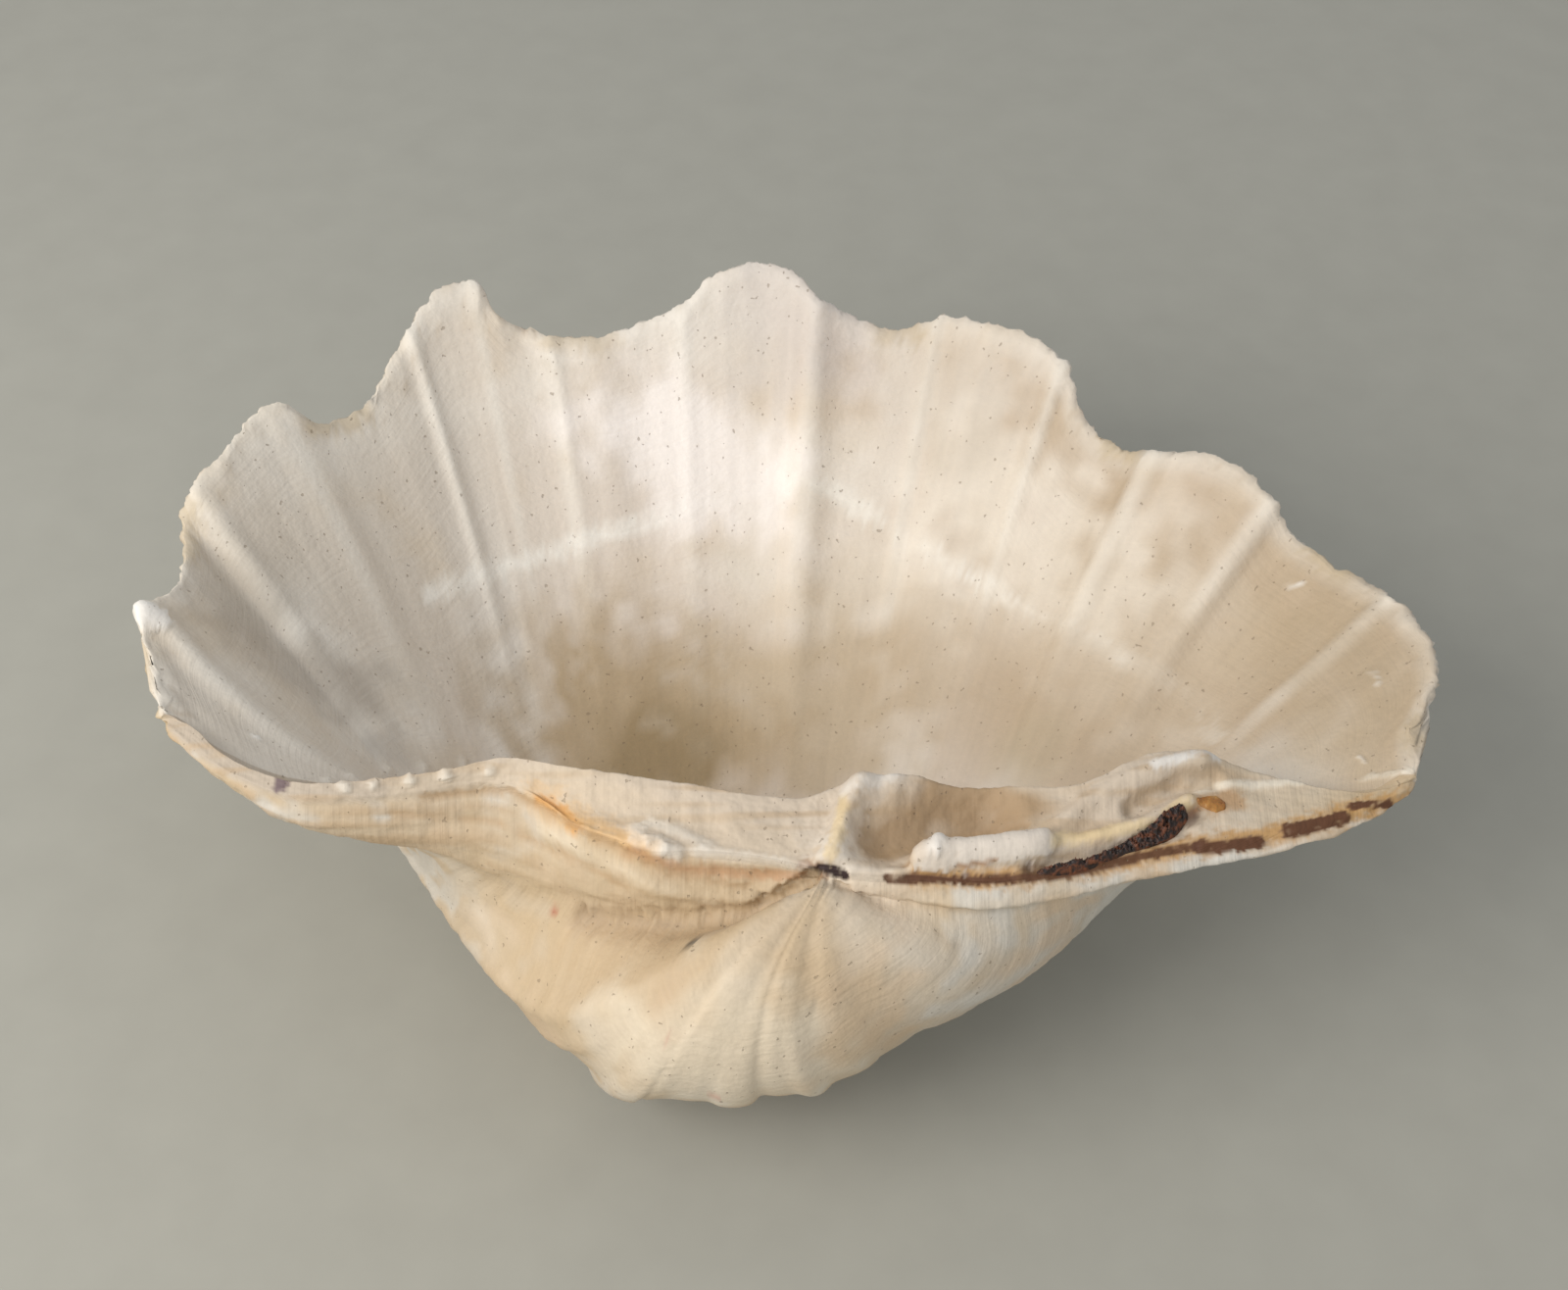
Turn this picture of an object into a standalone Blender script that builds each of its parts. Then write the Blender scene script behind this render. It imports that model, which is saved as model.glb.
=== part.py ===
"""One valve of a giant clam, lying with its hollow side up, with the dried remains of its ligament.

Units in the tables below are millimetres. The growth frame has its origin at the beak of the
shell, +X towards the ligament end, +Y towards the scalloped lips and +Z out of the hollow.
"""
import math

import bmesh
import bpy
import numpy as np
from mathutils import Vector
from mathutils.bvhtree import BVHTree

MM = 0.001

# Where the beak lies once the shell rests on the ground
BEAK_AT = (8.55, -83.85, 83.6)

# How fine the faceted solid is
COLUMNS = 100            # steps along the shell, byssal end to ligament end
FLARE_STEPS = 3          # steps over the flare under the hinge plate's edge
BODY_STEPS = 15          # steps over the rest of the outer face
PLATE_STEPS = 9          # steps over the hinge plate
WALL_STEPS = 4           # steps down the wall under the plate's crest
BOWL_STEPS = 14          # steps over the bowl
OUTER_ROWS = FLARE_STEPS + BODY_STEPS
INNER_ROWS = PLATE_STEPS + WALL_STEPS + BOWL_STEPS
REMAINS_ROWS = 4         # steps across each face of a piece of ligament
STRIP_STEPS = 24         # steps along the strip of ligament
CHIP_STEPS = 6           # steps along the flake of ligament
SAME_POINT = 0.00002     # metres; vertices this close are one
CURVE_SAMPLES = 601      # points read off a curve when a place on it is looked up
RAIL_SAMPLES = 401
TURN_SAMPLES = 241
DIRECTION_STEP = 0.002   # share of the rim or of the size, to find which way the face looks

# Thickness of the shell wall, and how its edges are shaped
LIP_THICKNESS = 3.0
BOWL_THICKNESS = 8.5
LEAST_WALL = 2.0         # the wall is never thinner than this where a fold comes in
THINNING = (0.35, 0.98)  # shares of full size between which the wall thins to the lip
EDGE_ROUND = 1.2         # how far the hinge edge is rounded
EDGE_CROWDING = 1.3      # above 1, the columns crowd towards the beak along the hinge edge

# How the growth lines coil: share of full size, degrees turned about the hinge axis
TURN = [(0.0, 168.0), (0.06, 163.0), (0.12, 154.0), (0.2, 137.0), (0.3, 113.0), (0.4, 86.0),
        (0.5, 62.0), (0.6, 43.0), (0.7, 28.5), (0.8, 16.5), (0.9, 7.4), (1.0, 0.0)]
TURN_SCALE = 160.0       # degrees that weigh as much as the full size when the coil is eased
SIDE_DEPTH = 0.62        # how much the width of the shell adds to its depth at the sides
SIDE_SWELL = 0.16        # how much wider the belly is than straight growth at the byssal side
SWIRL = 19.0             # sideways sweep of the ribs towards the byssal end
SWIRL_START = 0.12       # share of full size by which the sweep has set in
SWIRL_EASE = 1.5         # power by which the sweep sets in and fades to the sides

# The lips, seen from above: x, y, z, from the byssal end round to the ligament end
RIM = [(-145.4, 42, 0), (-149.5, 55, 0), (-154.4, 65.4, 1), (-155.4, 73, 2), (-152.9, 78.9, -1),
       (-152, 97.7, -6), (-154.1, 110.1, -4), (-151.3, 115.2, 0), (-144.1, 129.4, 3),
       (-135.3, 142.4, 3), (-127.6, 142.9, -4), (-117.3, 152.1, -8), (-112.2, 161.3, -5),
       (-106.2, 174.1, 0), (-100.4, 182.8, 5), (-89.5, 188.1, 5), (-84.7, 182.5, -1),
       (-78.1, 182.1, -6), (-70.3, 181.3, -7), (-59.9, 180.5, -8), (-48.3, 184.9, -7),
       (-34.7, 189, -3), (-25.8, 194.4, 3), (-13.5, 196, 5), (-6.2, 193.9, 5), (1.6, 186.6, 1),
       (10.5, 185, -4), (23.5, 182.1, -6), (34.3, 182.5, -2), (45.8, 173.7, 3), (57, 167, 4),
       (64.8, 158.6, 2), (67.5, 149.2, -4), (72.7, 142.5, -7), (79, 135.2, -6), (85.6, 128.8, -1),
       (97.6, 122.7, 4), (110.3, 109, 2), (113.3, 104.4, -2), (123, 94.1, -4), (134, 77.3, 0),
       (136.8, 67.2, 3), (138.3, 54.4, 4), (134.7, 44, 2), (131.6, 39.2, 1), (128.7, 24.7, 0)]
# Which of those points are the ends of ridges on the inner face, and how tall each ridge is
RIDGES = {3: 1.0, 7: 1.6, 9: 1.4, 13: 1.5, 15: 1.2, 18: 1.6, 21: 0.6, 25: 1.8, 28: 1.0, 31: 1.4,
          35: 1.6, 37: 1.8, 40: 1.3}
RIDGE_WIDTH = 5.0
RIDGE_SPREAD = 1.4       # how much wider a ridge gets from the lip to the beak
RIDGE_FALL = 3.0         # how fast a ridge falls off to its sides
RIDGE_SIZES = (0.50, 0.85)   # shares of full size between which the ridges rise
WEAR_SAMPLES = 1201
WEAR_SPREAD = 0.035      # how far the scallops are averaged out, as a share of the rim
WEAR_CUT = 3             # spreads after which the averaging is cut off
SCALLOP_DEPTH = 10.0     # how far the scallops stand off the worn rim
BOWL_CENTRE = (-10.0, 70.0)
RIB_SWELL = 3.4          # how far the outer ribs stand out
RIB_STANDING = (-1.5, 5.0)   # how far out a scallop is where its rib starts and is full
RIB_ENDS = (0.06, 0.2)   # shares of the rim near its ends where the ribs start and are full
RIB_SIZES = (0.12, 0.5)  # shares of full size between which the ribs set in
RIB_FADE = (0.6, 0.97)   # and between which they fade towards the lips
BEAK_RELIEF = 0.85       # how much of the scallops the outer face keeps at the beak
RELIEF_SIZES = (0.35, 0.9)   # shares of full size between which the scallops grow full
FILLED_SIZES = (0.42, 1.0)   # shares of full size between which the bowl takes on the scallops
FOLD_SIDES = (2.0, -2.0) # scallop depth from which a place counts as a fold

# The edge between the hinge plate and the outer face, and the plate's inner crest: x, y, z
HINGE_EDGE = [(-143.6, 39.0, 0), (-140.5, 36.2, 0), (-132.8, 29.5, 0), (-125.5, 24.9, 0),
              (-114.5, 19.9, 0), (-100.0, 19.2, 0), (-87.5, 20.4, 0), (-70.2, 23.0, 0),
              (-61.1, 19.6, 0), (-51.7, 11.7, 0), (-42.8, 8.1, 0), (-36.9, 5.4, 0),
              (-25.8, 5.4, 0), (-16.6, 4.5, 0), (-3.5, 1.5, 0), (0.0, 0.4, 0), (4.5, -0.3, 0),
              (21.0, -1.4, 0), (36.5, -2.4, 0), (50.4, 0.3, 0), (65.5, 4.0, 0), (80.4, 6.8, 0),
              (98.6, 10.2, 0), (116.6, 16.2, 0), (127.0, 22.0, 0)]
PLATE_CREST = [(-143.6, 42.4, 0.4), (-138.6, 40.0, 1), (-130.8, 32.5, 1), (-123.5, 27.9, 1),
               (-112.6, 23.3, 2), (-98.1, 22.9, 3), (-79.5, 25.4, 4), (-68.5, 27.6, 5),
               (-54.3, 25.5, 5), (-29.1, 21.8, 4), (-11.9, 19.1, 3), (-2.5, 18.8, 3),
               (3.5, 21.0, 4), (7.7, 22.6, 5), (14.8, 22.8, 6), (19.9, 23.6, 5),
               (25.6, 23.1, 3), (39.7, 22.8, 2), (56.0, 22.5, 3), (64.9, 26.0, 5),
               (70.3, 28.2, 6), (77.1, 28.6, 6), (84.3, 28.4, 5), (92.0, 26.9, 2),
               (104.0, 23.4, 1), (118.0, 21.4, 1), (127.4, 24.2, 1)]
CREST_OVERHANG = 3.0     # how far the plate's crest rounds over before the wall goes down
WALL_BELLY = (-0.12, 0.72)   # how far the wall has gone back and down at its bend
BOWL_START = 0.30        # fan row where the bowl begins

# Where the outer face meets the flare under the plate: the byssal crease, then the hinge side
BYSSAL_CREASE = [(0.0, 0.0, -0.5), (-5.0, -0.5, -5.0), (-12.0, -1.0, -9.0), (-22.0, -0.5, -12.0),
                 (-40.0, 2.5, -16.0), (-57.0, 9.0, -19.0), (-70.0, 14.0, -19.0),
                 (-85.0, 18.0, -16.0), (-100.0, 18.0, -12.0), (-115.0, 20.0, -8.0),
                 (-130.0, 29.0, -5.0), (-139.0, 37.0, -3.5), (-144.5, 40.5, -2.6)]
HINGE_UNDERSIDE = [(0.0, 0.0, -0.5), (8.0, -1.5, -4.0), (20.0, -2.5, -6.0), (36.0, -3.0, -7.0),
                   (50.0, -0.5, -7.0), (65.0, 3.5, -6.5), (80.0, 6.5, -5.5), (98.0, 10.5, -4.5),
                   (116.0, 16.5, -3.0), (128.0, 23.5, -1.6)]
PULL_REACH = 0.16        # share of the rim over which the growth surface is drawn to those rails
PULL_ENDS = 0.93         # share of full size from which the lips leave those rails
FLARE_SWELL = 3.0        # how far the fold of the flare stands out
FLARE_SIZES = (0.0, 0.3) # shares of full size between which that fold sets in

# The shell's lowest ribs are flat where it rests: the way up and how deep the flat lies
REST_UP = (0.0, 0.0, 1.0)
REST_DEPTH = -83.6

# What stands on the hinge plate or is sunk in it, seen from above: the x, y points of its line,
# its half width and its height
PLATE_SHAPES = {
    "cardinal tooth": ([(1.5, 2.5), (5.0, 11.0), (8.5, 20.0)], 5.0, 3.2),
    "socket": ([(14.0, 10.0), (24.0, 13.5), (34.0, 14.5)], 11.0, -6.0),
    "broken hinge tooth": ([(22.0, 3.6), (33.0, 4.6), (44.0, 5.6)], 5.2, 5.0),
    "lateral tooth": ([(48.0, 9.0), (56.0, 16.5), (64.0, 21.0), (73.0, 24.5), (82.0, 26.5)],
                      4.2, 2.4),
    "lateral groove": ([(66.0, 15.5), (75.0, 20.5), (84.0, 22.0)], 3.5, -2.2),
    "ligament ridge": ([(47.0, 6.5), (60.0, 9.0), (71.0, 13.0), (78.0, 17.0)], 3.0, 1.6),
    "ligament groove": ([(44.0, 1.8), (54.0, 3.6), (65.0, 7.0), (76.0, 11.5)], 3.2, -1.8),
    "byssal hollow": ([(-58.0, 20.0), (-42.0, 15.0), (-24.0, 12.0)], 7.0, -1.6),
}
PLATE_START = (0.0, 0.12)    # shares of the plate's width where those shapes set in
PLATE_END = (1.0, 1.5)   # and where they fade on the wall under the crest

# The dried ligament: its line along the hinge, then width and thickness at even steps along it
STRIP_LINE = [(44.5, 0.9), (52.0, 2.2), (59.4, 4.9), (64.5, 7.0), (71.6, 10.4), (77.5, 15.0)]
STRIP_WIDTHS = (1.4, 2.6, 2.8, 3.0, 3.6, 4.6, 4.8, 2.4)
STRIP_HEIGHTS = (0.9, 2.0, 1.7, 2.2, 2.0, 2.8, 3.2, 1.6)
CHIP_LINE = [(80.6, 17.4), (83.2, 17.3), (86.2, 16.6)]
CHIP_WIDTHS = (0.8, 2.6, 3.4, 1.2)
CHIP_HEIGHTS = (0.7, 1.1, 1.0, 0.7)
REMAINS_GAP = 0.5        # how far the ligament's underside stays clear of the faceted shell
REMAINS_EDGE = 0.35      # height of the ligament's long edges, as a share of its middle
HEADING_STEP = 0.02      # share of its length over which its direction is found
ABOVE_SHELL = 60.0       # height from which the shell under it is looked for
NEAR_PLATE = 2.0         # height of the plate there, where the shell isn't right below


def smooth(low, high, value):
    """A soft step from 0 at low to 1 at high."""
    share = np.clip((value - low) / (high - low), 0.0, 1.0)
    return share * share * (3.0 - 2.0 * share)


def curve_through(points, share):
    """Points on a smooth curve through the given ones, share running 0 to 1 along its length."""
    points = np.asarray(points, float)
    steps = np.linalg.norm(np.diff(points, axis=0), axis=1)
    knots = np.concatenate([[0.0], np.cumsum(steps)]) / steps.sum()
    gaps = np.diff(knots)[:, None]
    slopes = np.diff(points, axis=0) / gaps
    inner = (slopes[1:] * gaps[:-1] + slopes[:-1] * gaps[1:]) / (gaps[1:] + gaps[:-1])
    tangents = np.vstack([slopes[:1], inner, slopes[-1:]])
    share = np.clip(share, 0.0, 1.0)
    first = np.clip(np.searchsorted(knots, share, side="right") - 1, 0, len(gaps) - 1)
    width = gaps[first, 0]
    u = ((share - knots[first]) / width)[..., None]
    width = width[..., None]
    return (points[first] * (1 + 2 * u) * (1 - u) ** 2 + tangents[first] * width * u * (1 - u) ** 2
            + points[first + 1] * u * u * (3 - 2 * u) + tangents[first + 1] * width * u * u * (u - 1))


def knot_shares(points):
    """How far along the curve each of its points lies, 0 to 1."""
    steps = np.linalg.norm(np.diff(np.asarray(points, float), axis=0), axis=1)
    return np.concatenate([[0.0], np.cumsum(steps)]) / steps.sum()


RIM_SHARES = knot_shares(RIM)
RIM_LENGTH = np.linalg.norm(np.diff(np.asarray(RIM, float), axis=0), axis=1).sum()


def worn_rim_table():
    """The rim with its scallops averaged away, sampled evenly."""
    shares = np.linspace(0.0, 1.0, WEAR_SAMPLES)
    line = curve_through(RIM, shares)
    reach = int(WEAR_CUT * WEAR_SPREAD * WEAR_SAMPLES)
    offsets = np.arange(-reach, reach + 1) / (WEAR_SPREAD * WEAR_SAMPLES)
    weights = np.exp(-0.5 * offsets ** 2)
    weights /= weights.sum()
    start = 2 * line[0] - line[reach:0:-1]
    end = 2 * line[-1] - line[-2:-reach - 2:-1]
    padded = np.vstack([start, line, end])
    columns = [np.convolve(padded[:, axis], weights, mode="valid") for axis in range(3)]
    return shares, np.stack(columns, axis=-1)


WORN_SHARES, WORN_RIM = worn_rim_table()


def rim_at(share, relief):
    """The rim at a share of its length, with its scallops kept by the given relief, 0 to 1."""
    full = curve_through(RIM, share)
    worn = np.stack([np.interp(share, WORN_SHARES, WORN_RIM[:, axis]) for axis in range(3)], -1)
    relief = np.asarray(relief)[..., None]
    return worn + (full - worn) * relief


def scallop(share):
    """How far the rim stands out beyond the worn rim: above 0 on a lobe, below 0 in a notch."""
    full = curve_through(RIM, share)
    worn = rim_at(share, np.zeros_like(share))
    away = worn[..., :2] - BOWL_CENTRE
    away /= np.linalg.norm(away, axis=-1, keepdims=True)
    return ((full - worn)[..., :2] * away).sum(-1)


def turned(size):
    """How far a growth line has coiled about the hinge axis at a share of full size, radians."""
    sizes = np.array([row[0] for row in TURN])
    angles = np.array([row[1] for row in TURN])
    table = curve_through(np.stack([sizes, angles / TURN_SCALE], -1),
                          np.linspace(0, 1, TURN_SAMPLES))
    return np.radians(np.interp(size, table[:, 0], table[:, 1] * TURN_SCALE))


def free_growth(share, size, relief):
    """The rim scaled down towards the beak, coiling as it shrinks."""
    rim = rim_at(share, relief)
    angle = turned(size)
    middle = np.sin(math.pi * share)
    set_in = 1 - np.exp(-(size / SWIRL_START) ** SWIRL_EASE)
    sweep = -SWIRL * (1 - size) * set_in * middle ** SWIRL_EASE
    depth = np.hypot(rim[..., 1], SIDE_DEPTH * middle * rim[..., 0])
    swell = 1 + SIDE_SWELL * (1 - size) * (rim[..., 0] < 0)
    x = size * rim[..., 0] * swell + sweep
    y = size * (rim[..., 1] * np.cos(angle) + rim[..., 2] * np.sin(angle))
    z = size * (rim[..., 2] * np.cos(angle) - depth * np.sin(angle))
    return np.stack([x, y, z], -1)


def rail_point(rail, size):
    """The point of a rail out from the beak, found by its x as a share of the rail's length."""
    table = curve_through(rail, np.linspace(0, 1, RAIL_SAMPLES))
    way = table[:, 0] / table[-1, 0]
    return np.stack([np.interp(size, way, table[:, axis]) for axis in range(3)], -1)


def grown(share, size, relief):
    """The outer face: free growth, drawn to the byssal crease and to the hinge underside."""
    point = free_growth(share, size, relief)
    for rail, end in ((BYSSAL_CREASE, 0.0), (HINGE_UNDERSIDE, 1.0)):
        away = np.abs(share - end)
        pull = (1 - smooth(0.0, PULL_REACH, away))[..., None]
        gap = rail_point(rail, size) - free_growth(np.full_like(share, end), size, relief)
        point = point + gap * pull * (1 - smooth(PULL_ENDS, 1.0, size))[..., None]
    return point


def inward(share, size, relief):
    """The direction from the outer face into the hollow, one unit long."""
    step = DIRECTION_STEP
    after = grown(np.clip(share + step, 0, 1), size, relief)
    before = grown(np.clip(share - step, 0, 1), size, relief)
    larger = grown(share, size + step, relief)
    smaller = grown(share, np.maximum(size - step, 0.0), relief)
    normal = np.cross(after - before, larger - smaller)
    return normal / (np.linalg.norm(normal, axis=-1, keepdims=True) + 1e-9)


def edge_position(column):
    """Where a column meets the hinge edge: -1 at the byssal end, 0 at the beak, 1 at the other."""
    from_beak = 2 * column - 1
    return np.sign(from_beak) * np.abs(from_beak) ** EDGE_CROWDING


def fan_position(column, row):
    """Where a column and row, each 0 to 1, fall on the fan of growth: rim share and size."""
    across = -np.cos(math.pi * column)
    edge = edge_position(column)
    height = np.sin(math.pi * column)
    lean = smooth(0.0, 0.5, height)
    x = edge * (1 - row) + across * row - lean * edge * row * (1 - row)
    y = height * row
    size = np.hypot(x, y)
    share = np.arctan2(y, -x) / math.pi
    return share, size


def on_rail(rail, column):
    """The point of a rail that faces a column, found by its x."""
    edge = edge_position(column)
    table = curve_through(rail, np.linspace(0, 1, CURVE_SAMPLES))
    left, right = table[0, 0], table[-1, 0]
    x = np.where(edge < 0, -edge * left, edge * right)
    return np.stack([x, np.interp(x, table[:, 0], table[:, 1]),
                     np.interp(x, table[:, 0], table[:, 2])], -1)


FLARE_ROWS = FLARE_STEPS / OUTER_ROWS


def outer_relief(size):
    """How much of the scallops the ribs of the outer face keep at a share of full size."""
    return BEAK_RELIEF + (1 - BEAK_RELIEF) * smooth(*RELIEF_SIZES, size)


def rib_swell(share, size):
    """How far the ribs stand out of the growth surface: worn at the beak, gone at the lips."""
    from_end = np.minimum(share, 1 - share)
    on_rib = smooth(*RIB_STANDING, scallop(share)) * smooth(*RIB_ENDS, from_end)
    return RIB_SWELL * on_rib * smooth(*RIB_SIZES, size) * (1 - smooth(*RIB_FADE, size))


def outer_point(column, row):
    """The outer face: a narrow flare under the plate's edge, then the coiled growth surface."""
    fan_row = np.clip((row - FLARE_ROWS) / (1 - FLARE_ROWS), 0.0, 1.0)
    share, size = fan_position(column, fan_row)
    relief = outer_relief(size)
    body = grown(share, size, relief)
    body = body - inward(share, size, relief) * rib_swell(share, size)[..., None]
    lift = np.maximum(REST_DEPTH - body @ np.array(REST_UP), 0.0)
    body = body + lift[..., None] * np.array(REST_UP)
    edge = on_rail(HINGE_EDGE, column)
    edge[..., 2] -= EDGE_ROUND
    part = np.clip(row / FLARE_ROWS, 0.0, 1.0)[..., None]
    swell = np.sin(math.pi * part[..., 0]) * FLARE_SWELL * smooth(*FLARE_SIZES, size)
    swell *= np.sin(math.pi * column) ** 0.5
    flare = edge * (1 - part) + body * part
    flare[..., 1] -= swell
    return np.where((row < FLARE_ROWS)[..., None], flare, body)


PLATE_ROWS = PLATE_STEPS / INNER_ROWS
WALL_ROWS = (PLATE_STEPS + WALL_STEPS) / INNER_ROWS


def wall_thickness(size):
    """Thickness of the shell wall at a share of full size."""
    return LIP_THICKNESS + (BOWL_THICKNESS - LIP_THICKNESS) * (1 - smooth(*THINNING, size))


def bowl_relief(share, size):
    """How much of the scallops the bowl keeps: ribs fill in, folds stay clear of the outer face."""
    filled = smooth(*FILLED_SIZES, size)
    spare = (wall_thickness(size) - LEAST_WALL) / (SCALLOP_DEPTH * np.maximum(size, 0.1))
    folded = np.maximum(filled, outer_relief(size) - spare)
    return filled + (folded - filled) * smooth(*FOLD_SIDES, scallop(share))


def bowl_point(share, size):
    """The inner face of the bowl: the growth surface, smoothed and moved in by the wall."""
    relief = bowl_relief(share, size)
    rise = wall_thickness(size)
    for index, tall in RIDGES.items():
        away = (share - RIM_SHARES[index]) * RIM_LENGTH * size
        width = RIDGE_WIDTH * (1.0 + RIDGE_SPREAD * (1 - size))
        rise = rise + tall * np.exp(-(away / width) ** 2 * RIDGE_FALL) * smooth(*RIDGE_SIZES, size)
    return grown(share, size, relief) + inward(share, size, relief) * rise[..., None]


def near_line(x, y, line, half_width):
    """1 on a line of x, y points, falling softly to 0 at half_width from it."""
    away = np.full(x.shape, np.inf)
    for (ax, ay), (bx, by) in zip(line[:-1], line[1:]):
        dx, dy = bx - ax, by - ay
        part = np.clip(((x - ax) * dx + (y - ay) * dy) / (dx * dx + dy * dy), 0.0, 1.0)
        away = np.minimum(away, np.hypot(x - ax - part * dx, y - ay - part * dy))
    return 1 - smooth(0.0, half_width, away)


def plate_relief(x, y):
    """Height of the teeth, socket and grooves of the hinge plate over its plain surface."""
    height = np.zeros(x.shape)
    for line, half_width, tall in PLATE_SHAPES.values():
        height = height + tall * near_line(x, y, line, half_width)
    return height


def inner_point(column, row):
    """The inner face: the hinge plate, the wall under its crest, then the bowl."""
    edge = on_rail(HINGE_EDGE, column)
    crest = on_rail(PLATE_CREST, column)
    across = crest - edge
    across /= np.linalg.norm(across, axis=-1, keepdims=True) + 1e-9
    edge = edge + across * EDGE_ROUND
    part = np.clip(row / PLATE_ROWS, 0.0, 1.0)[..., None]
    plate = edge * (1 - part) + crest * part
    fan_row = BOWL_START + (1 - BOWL_START) * np.clip((row - WALL_ROWS) / (1 - WALL_ROWS), 0.0, 1.0)
    share, size = fan_position(column, fan_row)
    bowl = bowl_point(share, size)
    foot_share, foot_size = fan_position(column, np.full_like(row, BOWL_START))
    foot = bowl_point(foot_share, foot_size)
    down = np.clip((row - PLATE_ROWS) / (WALL_ROWS - PLATE_ROWS), 0.0, 1.0)[..., None]
    bend = crest + (foot - crest) * np.array((0.0,) + WALL_BELLY)
    bend[..., 1] += CREST_OVERHANG * np.sin(math.pi * column)
    wall = crest * (1 - down) ** 2 + bend * 2 * down * (1 - down) + foot * down ** 2
    point = np.where((row < PLATE_ROWS)[..., None], plate, wall)
    width_share = row / PLATE_ROWS
    inside = smooth(*PLATE_START, width_share) * (1 - smooth(*PLATE_END, width_share))
    point[..., 2] += inside * plate_relief(point[..., 0], point[..., 1])
    return np.where((row >= WALL_ROWS)[..., None], bowl, point)


def sheet(columns, rows, place):
    """A grid of columns and rows whose vertices are moved to place(column, row), millimetres."""
    bm = bmesh.new()
    bmesh.ops.create_grid(bm, x_segments=columns, y_segments=rows, size=0.5)
    flat = np.clip(np.array([vert.co[:2] for vert in bm.verts]) + 0.5, 0.0, 1.0)
    moved = place(flat[:, 0], flat[:, 1]) * MM
    for vert, co in zip(bm.verts, moved):
        vert.co = co
    return bm


def closed_solid(name, columns, first, second, material, beak):
    """Two sheets, each given as rows and place, joined round their shared edge into one solid."""
    lower = sheet(columns, *first)
    mesh = bpy.data.meshes.new(name)
    lower.to_mesh(mesh)
    lower.free()
    bm = sheet(columns, *second)
    bm.from_mesh(mesh)
    edges = [edge for edge in bm.edges if edge.is_boundary]
    bmesh.ops.bridge_loops(bm, edges=edges)
    bmesh.ops.remove_doubles(bm, verts=bm.verts, dist=SAME_POINT)
    bmesh.ops.dissolve_degenerate(bm, edges=bm.edges, dist=SAME_POINT)
    bmesh.ops.triangulate(bm, faces=bm.faces)
    bmesh.ops.recalc_face_normals(bm, faces=bm.faces)
    bm.to_mesh(mesh)
    bm.free()
    mesh.materials.append(material)
    thing = bpy.data.objects.new(name, mesh)
    thing.parent = beak
    beak.users_collection[0].objects.link(thing)
    return thing


def build_remains(name, line, widths, heights, steps, shell, material, beak):
    """A dried strip of ligament lying along a line on the hinge plate, just clear of the shell."""
    tree = BVHTree.FromPolygons([vert.co / MM for vert in shell.data.vertices],
                                [face.vertices[:] for face in shell.data.polygons])
    marks = np.linspace(0.0, 1.0, len(widths))

    def seat(along, across, rise):
        """Points over the shell at a share of the line's length and of the strip's width."""
        line_at = curve_through(line, along)
        ahead = curve_through(line, along + HEADING_STEP)
        heading = ahead - curve_through(line, along - HEADING_STEP)
        heading /= np.linalg.norm(heading, axis=-1, keepdims=True)
        side = np.stack([-heading[:, 1], heading[:, 0]], -1)
        spot = line_at + side * ((across - 0.5) * np.interp(along, marks, widths))[:, None]
        ground = []
        for x, y in spot:
            hit = tree.ray_cast(Vector((x, y, ABOVE_SHELL)), Vector((0.0, 0.0, -1.0)))[0]
            near = hit or tree.find_nearest(Vector((x, y, NEAR_PLATE)))[0]
            ground.append(near.z)
        return np.column_stack([spot, np.array(ground) + REMAINS_GAP + rise])

    def underside(along, across):
        """The face towards the shell."""
        return seat(along, across, 0.0)

    def top(along, across):
        """The weathered upper face."""
        arch = REMAINS_EDGE + (1 - REMAINS_EDGE) * np.sin(math.pi * across)
        return seat(along, across, np.interp(along, marks, heights) * arch)

    return closed_solid(name, steps, (REMAINS_ROWS, underside), (REMAINS_ROWS, top), material,
                        beak)


def plain_material(name, colour, roughness):
    """A Principled material with one colour."""
    material = bpy.data.materials.new(name)
    material.use_nodes = True
    shader = material.node_tree.nodes["Principled BSDF"]
    shader.inputs["Base Color"].default_value = (*colour, 1.0)
    shader.inputs["Roughness"].default_value = roughness
    shader.inputs["Metallic"].default_value = 0.0
    material.diffuse_color = (*colour, 1.0)
    return material


def main():
    """Clear the file and build the shell and what is left of its ligament."""
    for thing in list(bpy.data.objects):
        bpy.data.objects.remove(thing)
    collection = bpy.data.collections.new("giant_clam_shell")
    bpy.context.scene.collection.children.link(collection)
    beak = bpy.data.objects.new("beak", None)
    beak.location = Vector(BEAK_AT) * MM
    collection.objects.link(beak)

    chalk = plain_material("chalky_shell", (0.72, 0.63, 0.50), 0.62)
    brown = plain_material("dried_ligament", (0.09, 0.045, 0.025), 0.60)
    amber = plain_material("amber_ligament", (0.36, 0.17, 0.05), 0.40)
    shell = closed_solid("shell", COLUMNS, (OUTER_ROWS, outer_point), (INNER_ROWS, inner_point),
                         chalk, beak)
    build_remains("ligament_strip", STRIP_LINE, STRIP_WIDTHS, STRIP_HEIGHTS, STRIP_STEPS, shell,
                  brown, beak)
    build_remains("ligament_chip", CHIP_LINE, CHIP_WIDTHS, CHIP_HEIGHTS, CHIP_STEPS, shell, amber,
                  beak)


main()
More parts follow.
